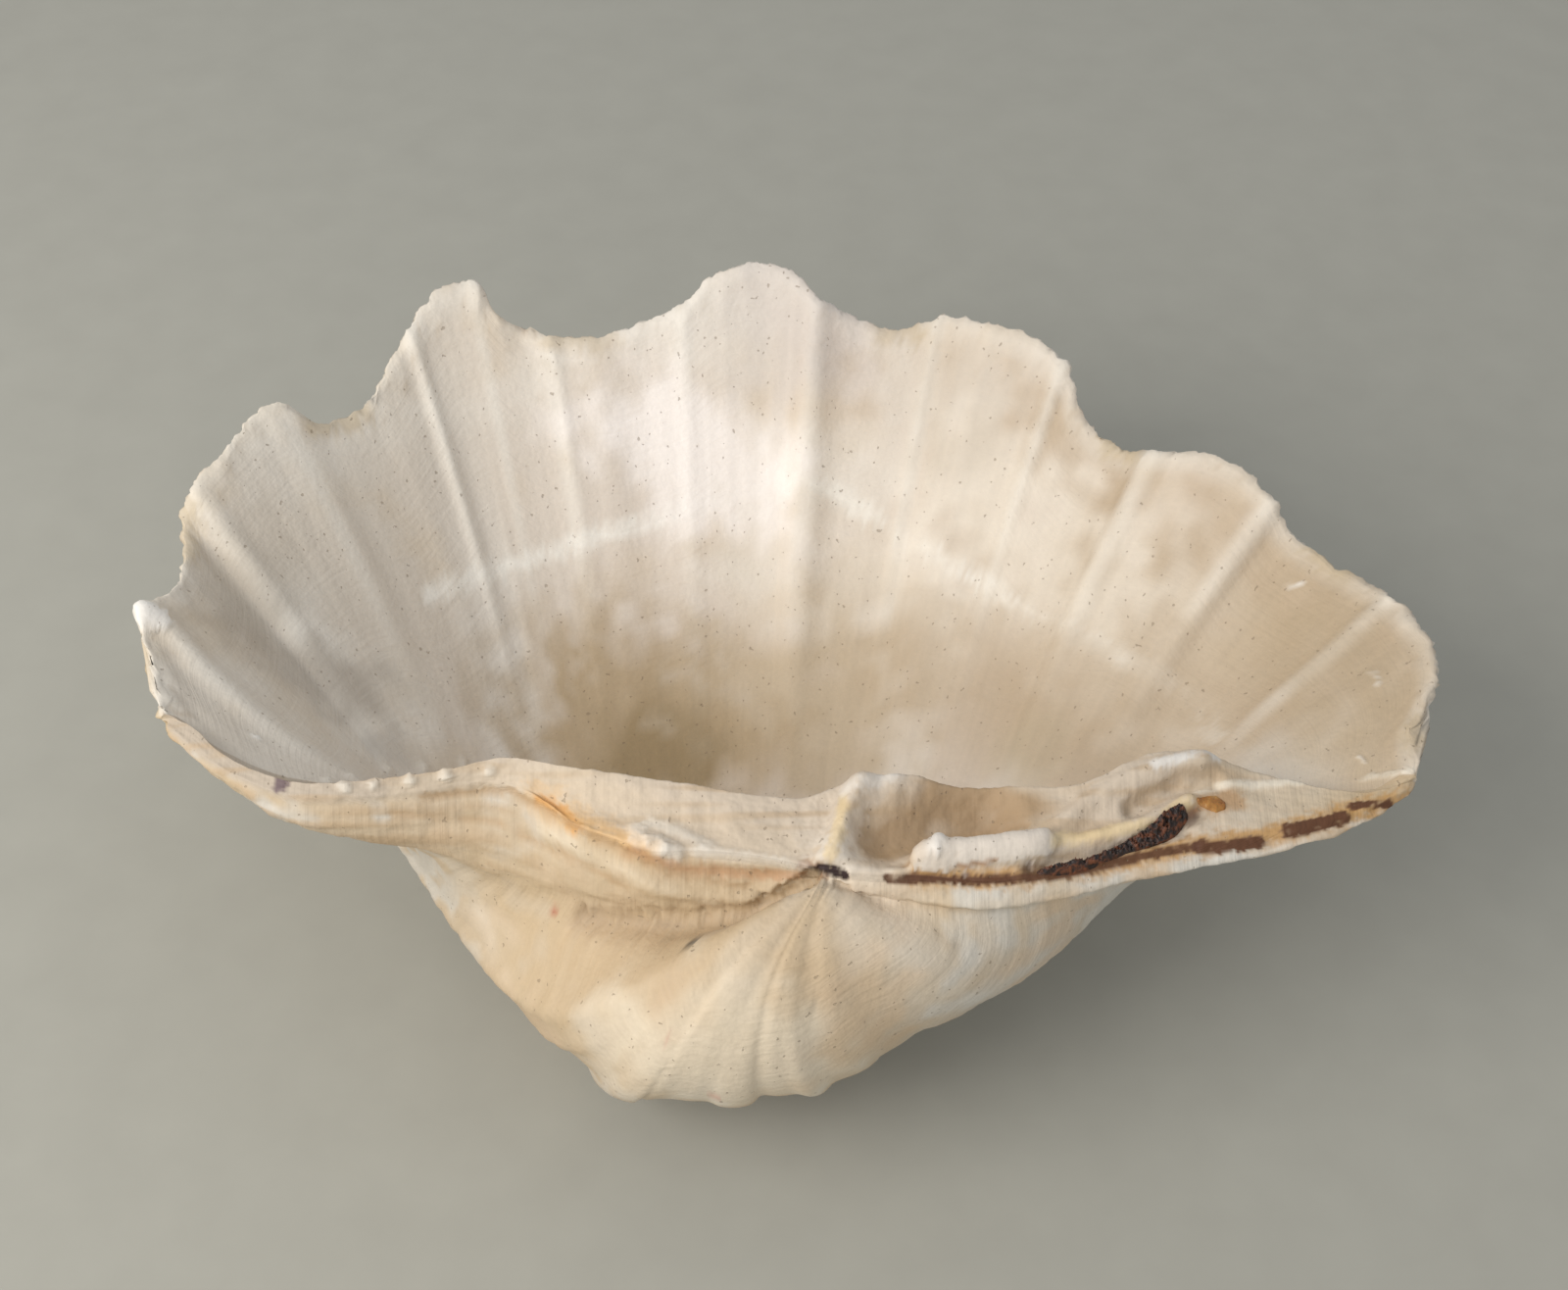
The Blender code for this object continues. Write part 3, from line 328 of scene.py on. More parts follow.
# Marks that reach further than this are broken up by clouds, the others by crumbs
WIDE_MARK = 8.0
FLAT_PARTS = {True: 0.65, False: 0.25}   # part of the reach at full strength, if crisp or not
CRUMB_WOBBLE = (0.3, 0.35)   # how far coarse and fine noise move the edge of a mark
CLOUD_WOBBLE = (0.5, 0.35)
CRUMB_WEAR = (0.6, 0.4)  # how much coarse and fine noise thin a mark out
CLOUD_WEAR = (0.8, 0.5)
MARK_FILL = 1.3          # how full a mark is before the noise thins it out
PULL_FLAT = 0.1          # part of a pull's reach that moves all the way
CRISP = ("left knob", "hinge line", "chunk base", "chunk chalk", "hinge crust", "far hinge crust",
         "last crust", "black dot", "worm tubes", "purple spot", "umbo gap with painted shade", "red mark",
         "lesser red marks")
MARKS = {
    "floor stain": ("in", 42, (0.36, 0.24, 0.1), 0.75, 0, [[(-49, 97, -66), (-33, 95, -68),
        (-18, 97, -67), (0, 100, -63)]]),
    "floor stain core": ("in", 20, (0.24, 0.16, 0.06), 0.6, 0, [[(-41, 90, -69), (-32, 88, -70)]]),
    "pallial line": ("in", 4, (0.84, 0.8, 0.72), 0.75, 0.12, [[(-98.2, 116.0, -37.3),
        (-82.3, 129.7, -42.5), (-59.6, 138.6, -40.5), (-33.8, 146.8, -37.6),
        (-7.7, 152.5, -31.6), (5.2, 149.5, -33.1), (13.0, 145.1, -36.1), (44.8, 115.2, -34.7),
        (64.7, 92.9, -28.7), (83.8, 76.0, -24.1), (92.6, 55.9, -21.8)]]),
    # painted light: a paler patch on the slope of the right wall that faces the window light
    "painted light on the right wall": ("in", 34, (0.8, 0.72, 0.6), 0.55, 0, [[(45, 134, -25), (63, 107, -26),
        (80, 84, -23)]]),
    "left white patch": ("in", 22, (0.82, 0.78, 0.7), 0.6, 0, [[(-124, 87, -23),
        (-109, 80, -36)]]),
    "left smudge": ("in", 18, (0.25, 0.19, 0.13), 0.5, 0, [[(-132, 80, -18), (-121, 79, -28),
        (-111, 82, -34)]]),
    "floor smudge": ("in", 9, (0.3, 0.26, 0.22), 0.35, 0, [[(-103, 68, -40)]]),
    "olive tint": ("in", 16, (0.42, 0.38, 0.22), 0.3, 0, [[(52, 72, -43)]]),
    "bright floor": ("in", 55, (0.84, 0.76, 0.63), 0.2, 0, [[(5, 137, -43), (13, 109, -58)]]),
    "yellow plate stain": ("both", 5, (0.66, 0.38, 0.13), 0.7, 0, [[(-61.0, 20.3, 0.4),
        (-51.9, 14.7, 0.2), (-42.9, 9.4, 0.3), (-37.0, 6.4, -0.1)]]),
    "plate band": ("both", 7, (0.56, 0.45, 0.32), 0.5, 0, [[(-88, 21, 1), (-70, 24, 1),
        (-61, 22, 1), (-41, 16, 1), (-20, 10, 1), (-8, 6, 1)]]),
    "hinge stain": ("both", 3.6, (0.44, 0.23, 0.06), 0.85, 0, [[(19.8, 0.0, 0.3),
        (37.0, -0.9, 0.2), (51.6, 0.9, 0.5), (75.7, 6.7, -0.2), (96.7, 11.1, 0.1),
        (125.3, 21.0, -1.2)]]),
    "hinge crust": ("both", 1.7, (0.1, 0.035, 0.01), 1, 0.3, [[(79.2, 7.4, -0.1),
        (85.4, 8.0, -0.8), (92.2, 9.2, -0.8)]]),
    "far hinge crust": ("both", 2, (0.1, 0.035, 0.01), 1, 0.3, [[(99.0, 11.6, 0.1),
        (104.2, 12.9, 0.1), (111.2, 15.1, 0.0)]]),
    "under strip": ("both", 3.4, (0.07, 0.03, 0.012), 0.85, 0, [[(43.2, 0.9, 0.5),
        (51.8, 1.3, 1.3), (59.5, 4.2, 2.2), (65.0, 7.0, 1.8), (72.3, 9.6, 3.1),
        (78.3, 14.3, 2.4)]]),
    "chunk chalk": ("in", 4.6, (0.64, 0.57, 0.49), 0.9, 1.1, [[(21.7, 2.2, 4.2),
        (27.8, 3.1, 4.4), (33.5, 3.7, 4.9), (39.0, 4.3, 5.1), (45.3, 5.3, 4.7)]]),
    "chunk base": ("both", 1.3, (0.14, 0.06, 0.02), 0.8, -0.2, [[(18.3, -0.3, 0.0),
        (28.3, -1.1, -0.1), (39.9, -0.8, 0.1)]]),
    "chunk crack": ("in", 0.8, (0.3, 0.15, 0.06), 0.8, -0.3, [[(27.9, 0.8, 2.0),
        (31.9, 1.6, 2.3), (36.0, 2.1, 2.6)]]),
    "chunk far side": ("in", 1.3, (0.4, 0.24, 0.12), 0.7, -0.3, [[(17.4, 2.4, 0.2),
        (22.8, 4.2, 4.3), (28.2, 12.8, -4.2), (34.8, 14.7, -4.3), (43.6, 12.3, 1.0)]]),
    "umbo brown": ("both", 3.4, (0.24, 0.09, 0.02), 0.9, 0, [[(-3.2, 1.8, -0.7),
        (-0.4, 1.1, -0.5)]]),
    # painted shade: the small gap by the beak is painted near black where shade falls into it; it
    # is also cut in a little
    "umbo gap with painted shade": ("both", 1.3, (0.03, 0.012, 0.005), 1, -0.8, [[(-3.7, 1.1, -1.8),
        (0.2, 1.6, 0.3), (4.9, 0.3, -0.4)]]),
    "tooth yellow": ("in", 2.4, (0.66, 0.5, 0.27), 0.7, 0, [[(2.0, 3.0, 3.1), (3.7, 8.8, 4.5),
        (4.7, 16.1, 5.1)]]),
    "tooth white": ("in", 3, (0.76, 0.72, 0.66), 0.5, 0, [[(5.9, 18.3, 6.0), (10.9, 20.1, 6.5),
        (15.6, 22.3, 5.7)]]),
    "tooth shade": ("in", 3, (0.42, 0.3, 0.18), 0.6, 0, [[(8.8, 8.4, -0.7), (12.2, 14.5, 0.4),
        (16.2, 18.5, 3.1)]]),
    "socket floor": ("in", 12, (0.36, 0.24, 0.13), 0.95, 0, [[(14, 10, -3), (24, 17, -1),
        (34, 20, -1), (44, 16, 1)]]),
    "lateral groove": ("in", 2.6, (0.36, 0.26, 0.16), 0.65, -0.3, [[(65.2, 16.9, 1.8),
        (71.6, 20.2, 3.0), (78.5, 23.2, 4.6), (85.1, 24.4, 3.7)]]),
    "lateral white": ("in", 2, (0.76, 0.74, 0.7), 0.7, 0.1, [[(71.6, 24.1, 7.0),
        (76.8, 25.8, 7.3), (84.9, 28.0, 5.2)]]),
    "nymph ridge": ("in", 2.4, (0.72, 0.55, 0.3), 0.7, 0.2, [[(48.6, 6.8, 3.1), (60.2, 9.7, 2.3),
        (71.9, 11.3, 4.3), (78.6, 17.7, 3.1)]]),
    "nymph dark": ("in", 1.6, (0.28, 0.12, 0.05), 0.7, 0, [[(64.0, 5.9, 1.9), (71.0, 8.6, 2.1),
        (77.0, 13.1, 3.2), (82.6, 16.5, 3.6)]]),
    "amber ground": ("both", 4, (0.4, 0.2, 0.06), 0.6, 0, [[(81.3, 17.0, 4.0),
        (88.3, 18.7, 1.8)]]),
    "end ridge": ("in", 1.6, (0.8, 0.74, 0.62), 0.6, 0.4, [[(80.8, 20.3, 2.2), (86.2, 22.0, 2.3),
        (99.4, 23.6, 1.0), (119.8, 26.7, 0.1), (127.2, 26.1, 2.6)]]),
    # painted shade: the crease is painted dark where its fold lies in shade; it is also cut in by
    # two millimetres
    "crease": ("both", 2.8, (0.12, 0.07, 0.035), 0.95, -2, [[(-2.6, 0.6, -1.9),
        (-5.7, -0.0, -4.5), (-8.6, -0.8, -7.3), (-11.9, -1.6, -8.6), (-15.2, -3.1, -9.3),
        (-18.9, -3.4, -10.3), (-22.4, -3.5, -11.3), (-25.3, -3.0, -12.3), (-28.5, -2.8, -13.3),
        (-31.5, -2.4, -14.3), (-35.1, -1.2, -15.7), (-38.5, -0.2, -16.7), (-42.2, 0.8, -17.8),
        (-45.3, 1.8, -18.9), (-48.3, 3.1, -20.0), (-51.5, 4.2, -21.3)]]),
    "flare fold": ("out", 2.6, (0.8, 0.7, 0.54), 0.5, 0.6, [[(-58.7, 15.3, -4.3),
        (-55.4, 12.9, -3.6), (-52.3, 10.7, -3.2), (-49.1, 8.9, -3.5), (-45.9, 7.4, -3.8),
        (-42.9, 5.8, -4.2), (-40.0, 4.1, -4.6), (-37.1, 2.5, -5.3), (-34.2, 1.5, -6.2),
        (-31.3, 1.2, -6.9), (-28.4, 0.8, -7.8), (-25.3, 0.4, -8.3), (-22.4, 0.0, -8.8),
        (-19.5, -0.1, -8.6), (-16.6, -0.2, -8.4), (-13.7, -0.4, -8.1), (-11.0, -0.1, -6.5),
        (-8.4, 0.3, -4.9), (-5.7, 0.7, -3.3)]]),
    "flare shade": ("out", 4, (0.52, 0.38, 0.22), 0.45, -0.3, [[(-49.2, 10.2, -1.7),
        (-46.1, 8.5, -2.3), (-42.9, 7.0, -2.7), (-39.7, 5.4, -2.8), (-36.6, 3.8, -3.4),
        (-33.5, 3.0, -3.8), (-30.4, 2.5, -4.5), (-27.3, 2.1, -5.0), (-24.2, 1.6, -5.7),
        (-21.1, 1.6, -5.4), (-18.0, 1.5, -5.2), (-15.0, 1.4, -4.8), (-11.9, 1.3, -4.3)]]),
    "knobs by the flare": ("both", 3.2, (0.84, 0.8, 0.72), 0.35, 0.77, [[(-38.8, 11.1, 0.4),
        (-38.1, 9.0, 0.6)], [(-35.0, 8.5, 0.6), (-34.1, 6.6, 0.3)]]),
    "last knob": ("both", 3.2, (0.84, 0.8, 0.72), 0.35, 0.7, [[(-31.6, 6.2, 0.2),
        (-30.8, 5.3, -1.0)]]),
    "low ridges": ("both", 2.2, (0.82, 0.77, 0.68), 0.35, 0.35, [[(-36.0, 13.4, 0.5),
        (-30.5, 11.4, 0.1), (-23.6, 7.8, 0.1)], [(-25.9, 6.2, -0.2), (-16.6, 4.8, -0.8),
        (-3.4, 2.1, -0.5)]]),
    "plicae": ("in", 1.9, (0.78, 0.72, 0.62), 0.5, 0.9, [[(-109.8, 36.3, -13.7),
        (-101.7, 21.7, 2.0)], [(-105.6, 42.8, -20.0), (-95.4, 22.2, 2.4)],
        [(-103.0, 60.0, -39.7), (-87.9, 23.1, 2.7)], [(-95.9, 66.5, -46.6), (-80.1, 24.3, 2.8)],
        [(-87.8, 73.3, -53.9), (-71.3, 25.6, 2.9)]]),
    "peach outside": ("out", 30, (0.5, 0.35, 0.22), 0.6, 0, [[(-36, -20, -20), (-20, -23, -12),
        (-12, -24, -18)]]),
    "yellow outside": ("out", 34, (0.5, 0.37, 0.22), 0.8, 0, [[(-59, 2, -31), (-41, -9, -20),
        (-16, -15, -7)]]),
    "red mark": ("out", 2, (0.4, 0.08, 0.04), 0.8, 0, [[(-22.7, -27.0, -42.8)]]),
    "lesser red marks": ("out", 1.4, (0.4, 0.1, 0.05), 0.7, 0, [[(-57.8, 7.6, -23.1)],
        [(-32.0, -24.4, -22.7)]]),
    "black dot": ("out", 1.5, (0.02, 0.015, 0.01), 0.95, -0.2, [[(-27.0, -9.3, -10.7)]]),
    "ochre left": ("out", 14, (0.52, 0.36, 0.16), 0.7, 0, [[(-149, 55, 1), (-147, 47, 1)]]),
    "purple spot": ("both", 2, (0.1, 0.055, 0.07), 0.85, 0, [[(-116.1, 23.0, 1.1)]]),
    "spike": ("both", 3, (0.3, 0.2, 0.11), 0.6, 0.8, [[(-77.0, 180.6, -3.4),
        (-74.6, 180.0, -3.6)]]),
    "dirt in deep notches": ("both", 6, (0.46, 0.35, 0.2), 0.6, 0, [[(-153.2, 108.2, -1.5),
        (-151.0, 98.8, -3.7)], [(-126.3, 140.9, -2.2), (-116.2, 150.0, -6.1)]]),
    "faint dirt in notches": ("both", 5, (0.46, 0.35, 0.2), 0.5, 0, [[(-69.9, 177.9, -4.8),
        (-54.5, 179.6, -6.2)], [(130.4, 37.5, 3.7), (130.6, 34.2, 2.1)]]),
    "dirt in notches": ("both", 5, (0.46, 0.35, 0.2), 0.6, 0, [[(18.2, 180.4, -4.5),
        (27.2, 179.4, -3.7)], [(73.8, 138.1, -4.9), (79.0, 131.6, -2.7)], [(119.3, 95.0, -1.9),
        (124.5, 89.3, -1.3)]]),
    "worm tubes": ("in", 0.9, (0.86, 0.83, 0.77), 0.6, 0.35, [[(111.6, 92.2, -7.0),
        (113.2, 90.1, -7.2), (115.3, 90.1, -6.2)], [(125.0, 57.1, -0.4), (126.1, 54.5, 0.5),
        (124.9, 52.3, 0.1)], [(117.7, 33.0, -0.9), (118.6, 31.3, -0.5)], [(-127.0, 44.9, -7.9),
        (-125.2, 44.0, -8.5)]]),
    "left knob": ("both", 4, (0.84, 0.8, 0.74), 0.7, 0.8, [[(-153.8, 70.2, 5.0),
        (-151.0, 70.2, 3.4)]]),
    "byssal orange": ("both", 2.2, (0.6, 0.28, 0.06), 0.8, 0, [[(-60.2, 19.7, 0.2),
        (-54.8, 16.8, -0.1), (-51.8, 12.5, -0.3)]]),
    "byssal rust": ("both", 2, (0.42, 0.22, 0.1), 0.7, -0.2, [[(-40.8, 7.2, -1.1),
        (-37.2, 5.8, -1.0), (-33.9, 4.7, -1.6), (-30.4, 4.1, -2.5), (-27.3, 3.9, -2.9),
        (-24.2, 3.6, -3.2), (-21.1, 3.2, -3.3), (-18.0, 2.8, -3.5), (-14.7, 2.6, -3.2),
        (-11.4, 2.3, -2.8), (-8.0, 1.8, -2.5), (-4.7, 1.4, -1.9)]]),
    "hinge line": ("both", 1.3, (0.09, 0.03, 0.007), 0.95, -0.3, [[(13.9, -0.4, -0.4),
        (21.2, -0.7, -0.4), (37.0, -1.2, -0.0), (51.7, 0.9, -0.9), (65.2, 4.6, -0.4),
        (78.6, 7.4, -0.0)]]),
    "last crust": ("both", 1.2, (0.1, 0.035, 0.01), 1, 0.2, [[(113.3, 17.7, 0.4),
        (122.0, 19.4, -0.8)]]),
    "crease edge": ("both", 5.5, (0.42, 0.3, 0.18), 0.6, -0.5, [[(-15.1, -4.6, -8.5),
        (-18.4, -4.5, -9.8), (-21.6, -4.4, -10.6), (-24.9, -4.5, -11.6), (-28.0, -4.0, -13.1),
        (-31.4, -3.9, -14.4), (-34.6, -2.8, -15.6), (-38.1, -1.5, -17.1), (-41.3, -0.5, -18.2),
        (-44.6, 0.8, -19.3), (-48.1, 2.0, -20.6), (-51.5, 3.2, -22.1)]]),
    "fan lines": ("out", 1.3, (0.4, 0.31, 0.21), 0.45, -0.45, [[(0.6, -1.1, -1.2),
        (-1.3, -21.7, -16.1)], [(1.2, -1.0, -1.4), (9.8, -20.8, -25.4)], [(1.8, -0.9, -1.6),
        (13.9, -15.9, -14.8)], [(2.3, -0.8, -1.7), (22.9, -14.7, -19.0)], [(2.9, -0.6, -1.9),
        (28.6, -8.6, -12.6)]]),
    # painted light: the centre of the far wall is painted paler where the light falls on it
    "painted light on the centre wall": ("in", 27, (0.88, 0.81, 0.75), 0.85, 0, [[(-47, 165, -23), (-22, 153, -34)]]),
    "top pink": ("in", 30, (0.62, 0.55, 0.5), 0.5, 0, [[(-8, 193, 8), (5, 181, -2)]]),
    "floor right tan": ("in", 30, (0.44, 0.33, 0.21), 0.65, 0, [[(32, 99, -51), (68, 72, -34),
        (86, 74, -25)]]),
    "chunk peak": ("both", 2.2, (0.8, 0.77, 0.72), 0.6, 1.2, [[(23.6, 3.9, 4.6),
        (24.8, 4.6, 4.7)]]),
    "chunk slope": ("both", 1.4, (0.6, 0.47, 0.33), 0.5, 0.5, [[(15.3, -0.2, -0.1),
        (21.8, 3.6, 4.0)]]),
    "chunk cracks": ("both", 0.8, (0.5, 0.4, 0.32), 0.7, -0.5, [[(36.7, 12.1, -3.3),
        (36.6, 0.5, 1.1)], [(30.0, 11.1, -3.6), (29.7, -0.3, 0.7)]]),
    "last chunk crack": ("both", 0.8, (0.52, 0.42, 0.34), 0.7, -0.5, [[(43.0, 7.2, 4.3),
        (43.7, 1.5, 0.4)]]),
    "byssal line one": ("both", 1.3, (0.38, 0.24, 0.12), 0.6, -0.3, [[(-85.6, 21.1, -0.3),
        (-82.5, 21.6, -0.6), (-79.4, 22.2, -1.0), (-76.4, 22.7, -1.3), (-73.2, 23.0, -1.3),
        (-70.0, 23.0, -1.0), (-66.7, 22.6, -0.1), (-63.9, 21.2, -0.7), (-60.9, 19.4, -1.2),
        (-58.0, 17.4, -0.9), (-55.1, 15.0, -0.2), (-52.0, 12.8, 0.0), (-49.2, 11.2, -0.3),
        (-46.5, 9.8, -0.8), (-43.5, 8.4, -1.1), (-40.8, 6.9, -1.5), (-38.0, 5.4, -1.8),
        (-35.1, 4.2, -2.3), (-32.5, 3.3, -3.5), (-29.2, 2.9, -4.0), (-25.9, 2.5, -4.5),
        (-22.6, 2.0, -4.8), (-19.3, 1.5, -5.3), (-16.0, 1.0, -5.6)]]),
    "byssal line two": ("both", 1.2, (0.42, 0.27, 0.14), 0.5, -0.3, [[(-92.0, 18.7, -3.3),
        (-89.1, 18.8, -3.8), (-86.0, 18.9, -4.3), (-83.1, 19.1, -4.8), (-80.3, 19.3, -5.2),
        (-77.4, 19.4, -5.6), (-74.2, 19.4, -5.9), (-71.2, 19.1, -6.0), (-68.2, 17.8, -6.7),
        (-65.2, 16.4, -7.2), (-62.1, 14.9, -7.3), (-59.0, 13.0, -7.3), (-55.9, 10.9, -6.9),
        (-52.8, 8.8, -6.5), (-49.8, 7.1, -6.6), (-46.8, 5.6, -7.0), (-43.9, 4.2, -7.6),
        (-40.9, 2.8, -8.1)]]),
    # painted light: the low front of the outer face is painted paler where the front light falls on
    # it
    "painted light on the low front": ("out", 30, (0.76, 0.68, 0.54), 0.55, 0, [[(-28, -28, -29), (-8, -27, -34)]]),
    "mid lobe tan": ("in", 22, (0.5, 0.42, 0.32), 0.5, 0, [[(34, 169, -9), (37, 156, -15)]]),
    "left tan": ("in", 22, (0.44, 0.38, 0.3), 0.45, 0, [[(-141, 103, -8), (-136, 92, -17)]]),
    "far right tan": ("in", 26, (0.4, 0.3, 0.18), 0.5, 0, [[(115, 79, -9), (121, 47, -1)]]),
    "top tan": ("in", 24, (0.52, 0.46, 0.4), 0.4, 0, [[(-13, 185, -3), (-10, 178, -10)]]),
}
# Places where the lip is drawn out or broken back: a centre, a reach and a pull
PULLS = {
    "spike": ((-74.6, 180.0, -3.6), 2.6, (0, 1.5, 4)),
    "broken notch": ((122.3, 92.2, -1.6), 4, (-1.2, -1.6, -0.5)),
    "chip on the far lobe": ((-33.8, 186.6, -1.0), 2.6, (0.3, -1.3, -0.3)),
    "chip on the left lobe": ((-150.4, 111.9, 1.5), 2.4, (1, -0.6, -0.3)),
    "nick in the right end": ((130.9, 37.2, 2.4), 2.6, (-1.4, 0, 0)),
    "drawn corner": ((132.5, 73.5, 3.4), 3, (0.8, 0.8, 0.6)),
    "left knob": ((-154.1, 70.5, 4.7), 4.5, (-0.8, 0.3, 1.4)),
}
print(len(MARKS), "marks")

# %% [markdown]
# ## Soft steps and smooth curves
# Small helpers for the surfaces.

# %%


def smooth(low, high, value):
    """A soft step from 0 at low to 1 at high."""
    share = np.clip((value - low) / (high - low), 0.0, 1.0)
    return share * share * (3.0 - 2.0 * share)


def curve_through(points, share):
    """Points on a smooth curve through the given ones, share running 0 to 1 along its length."""
    points = np.asarray(points, float)
    steps = np.linalg.norm(np.diff(points, axis=0), axis=1)
    knots = np.concatenate([[0.0], np.cumsum(steps)]) / steps.sum()
    gaps = np.diff(knots)[:, None]
    slopes = np.diff(points, axis=0) / gaps
    inner = (slopes[1:] * gaps[:-1] + slopes[:-1] * gaps[1:]) / (gaps[1:] + gaps[:-1])
    tangents = np.vstack([slopes[:1], inner, slopes[-1:]])
    share = np.clip(share, 0.0, 1.0)
    first = np.clip(np.searchsorted(knots, share, side="right") - 1, 0, len(gaps) - 1)
    width = gaps[first, 0]
    u = ((share - knots[first]) / width)[..., None]
    width = width[..., None]
    return (points[first] * (1 + 2 * u) * (1 - u) ** 2 + tangents[first] * width * u * (1 - u) ** 2
            + points[first + 1] * u * u * (3 - 2 * u)
            + tangents[first + 1] * width * u * u * (u - 1))


def knot_shares(points):
    """How far along the curve each of its points lies, 0 to 1."""
    steps = np.linalg.norm(np.diff(np.asarray(points, float), axis=0), axis=1)
    return np.concatenate([[0.0], np.cumsum(steps)]) / steps.sum()


print("half a soft step:", float(smooth(0.0, 1.0, np.array(0.5))))

# %% [markdown]
# ## The rim and its scallops
# The worn rim has its scallops averaged away: the ribs fill in towards the beak.

# %%
RIM_SHARES = knot_shares(RIM)
RIM_LENGTH = np.linalg.norm(np.diff(np.asarray(RIM, float), axis=0), axis=1).sum()


def worn_rim_table():
    """The rim with its scallops averaged away, sampled evenly."""
    shares = np.linspace(0.0, 1.0, WEAR_SAMPLES)
    line = curve_through(RIM, shares)
    reach = int(WEAR_CUT * WEAR_SPREAD * WEAR_SAMPLES)
    offsets = np.arange(-reach, reach + 1) / (WEAR_SPREAD * WEAR_SAMPLES)
    weights = np.exp(-0.5 * offsets ** 2)
    weights /= weights.sum()
    start = 2 * line[0] - line[reach:0:-1]
    end = 2 * line[-1] - line[-2:-reach - 2:-1]
    padded = np.vstack([start, line, end])
    columns = [np.convolve(padded[:, axis], weights, mode="valid") for axis in range(3)]
    return shares, np.stack(columns, axis=-1)


WORN_SHARES, WORN_RIM = worn_rim_table()


def rim_at(share, relief):
    """The rim at a share of its length, with its scallops kept by the given relief, 0 to 1."""
    full = curve_through(RIM, share)
    worn = np.stack([np.interp(share, WORN_SHARES, WORN_RIM[:, axis]) for axis in range(3)], -1)
    relief = np.asarray(relief)[..., None]
    return worn + (full - worn) * relief


def scallop(share):
    """How far the rim stands out beyond the worn rim: above 0 on a lobe, below 0 in a notch."""
    full = curve_through(RIM, share)
    worn = rim_at(share, np.zeros_like(share))
    away = worn[..., :2] - BOWL_CENTRE
    away /= np.linalg.norm(away, axis=-1, keepdims=True)
    return ((full - worn)[..., :2] * away).sum(-1)


print("rim is", round(RIM_LENGTH), "mm round")

# %% [markdown]
# ## The growth surface
# The rim shrinks and coils towards the beak.

# %%


def turned(size):
    """How far a growth line has coiled about the hinge axis at a share of full size, radians."""
    sizes = np.array([row[0] for row in TURN])
    angles = np.array([row[1] for row in TURN])
    table = curve_through(np.stack([sizes, angles / TURN_SCALE], -1),
                          np.linspace(0, 1, TURN_SAMPLES))
    return np.radians(np.interp(size, table[:, 0], table[:, 1] * TURN_SCALE))


def free_growth(share, size, relief):
    """The rim scaled down towards the beak, coiling as it shrinks."""
    rim = rim_at(share, relief)
    angle = turned(size)
    middle = np.sin(math.pi * share)
    set_in = 1 - np.exp(-(size / SWIRL_START) ** SWIRL_EASE)
    sweep = -SWIRL * (1 - size) * set_in * middle ** SWIRL_EASE
    depth = np.hypot(rim[..., 1], SIDE_DEPTH * middle * rim[..., 0])
    swell = 1 + SIDE_SWELL * (1 - size) * (rim[..., 0] < 0)
    x = size * rim[..., 0] * swell + sweep
    y = size * (rim[..., 1] * np.cos(angle) + rim[..., 2] * np.sin(angle))
    z = size * (rim[..., 2] * np.cos(angle) - depth * np.sin(angle))
    return np.stack([x, y, z], -1)


def rail_point(rail, size):
    """The point of a rail out from the beak, found by its x as a share of the rail's length."""
    table = curve_through(rail, np.linspace(0, 1, RAIL_SAMPLES))
    way = table[:, 0] / table[-1, 0]
    return np.stack([np.interp(size, way, table[:, axis]) for axis in range(3)], -1)


def grown(share, size, relief):
    """The outer face: free growth, drawn to the byssal crease and to the hinge underside."""
    point = free_growth(share, size, relief)
    for rail, end in ((BYSSAL_CREASE, 0.0), (HINGE_UNDERSIDE, 1.0)):
        away = np.abs(share - end)
        pull = (1 - smooth(0.0, PULL_REACH, away))[..., None]
        gap = rail_point(rail, size) - free_growth(np.full_like(share, end), size, relief)
        point = point + gap * pull * (1 - smooth(PULL_ENDS, 1.0, size))[..., None]
    return point


def inward(share, size, relief):
    """The direction from the outer face into the hollow, one unit long."""
    step = DIRECTION_STEP
    after = grown(np.clip(share + step, 0, 1), size, relief)
    before = grown(np.clip(share - step, 0, 1), size, relief)
    larger = grown(share, size + step, relief)
    smaller = grown(share, np.maximum(size - step, 0.0), relief)
    normal = np.cross(after - before, larger - smaller)
    return normal / (np.linalg.norm(normal, axis=-1, keepdims=True) + 1e-9)


print("coil at half size:", round(float(np.degrees(turned(0.5)))), "degrees")

# %% [markdown]
# ## A fan of columns and rows
# Columns start evenly along the hinge edge and end round the lips.

# %%


def edge_position(column):
    """Where a column meets the hinge edge: -1 at the byssal end, 0 at the beak, 1 at the other."""
    from_beak = 2 * column - 1
    return np.sign(from_beak) * np.abs(from_beak) ** EDGE_CROWDING


def fan_position(column, row):
    """Where a column and row, each 0 to 1, fall on the fan of growth: rim share and size."""
    across = -np.cos(math.pi * column)
    edge = edge_position(column)
    height = np.sin(math.pi * column)
    lean = smooth(0.0, 0.5, height)
    x = edge * (1 - row) + across * row - lean * edge * row * (1 - row)
    y = height * row
    size = np.hypot(x, y)
    share = np.arctan2(y, -x) / math.pi
    return share, size


def on_rail(rail, column):
    """The point of a rail that faces a column, found by its x."""
    edge = edge_position(column)
    table = curve_through(rail, np.linspace(0, 1, CURVE_SAMPLES))
    left, right = table[0, 0], table[-1, 0]
    x = np.where(edge < 0, -edge * left, edge * right)
    return np.stack([x, np.interp(x, table[:, 0], table[:, 1]),
                     np.interp(x, table[:, 0], table[:, 2])], -1)


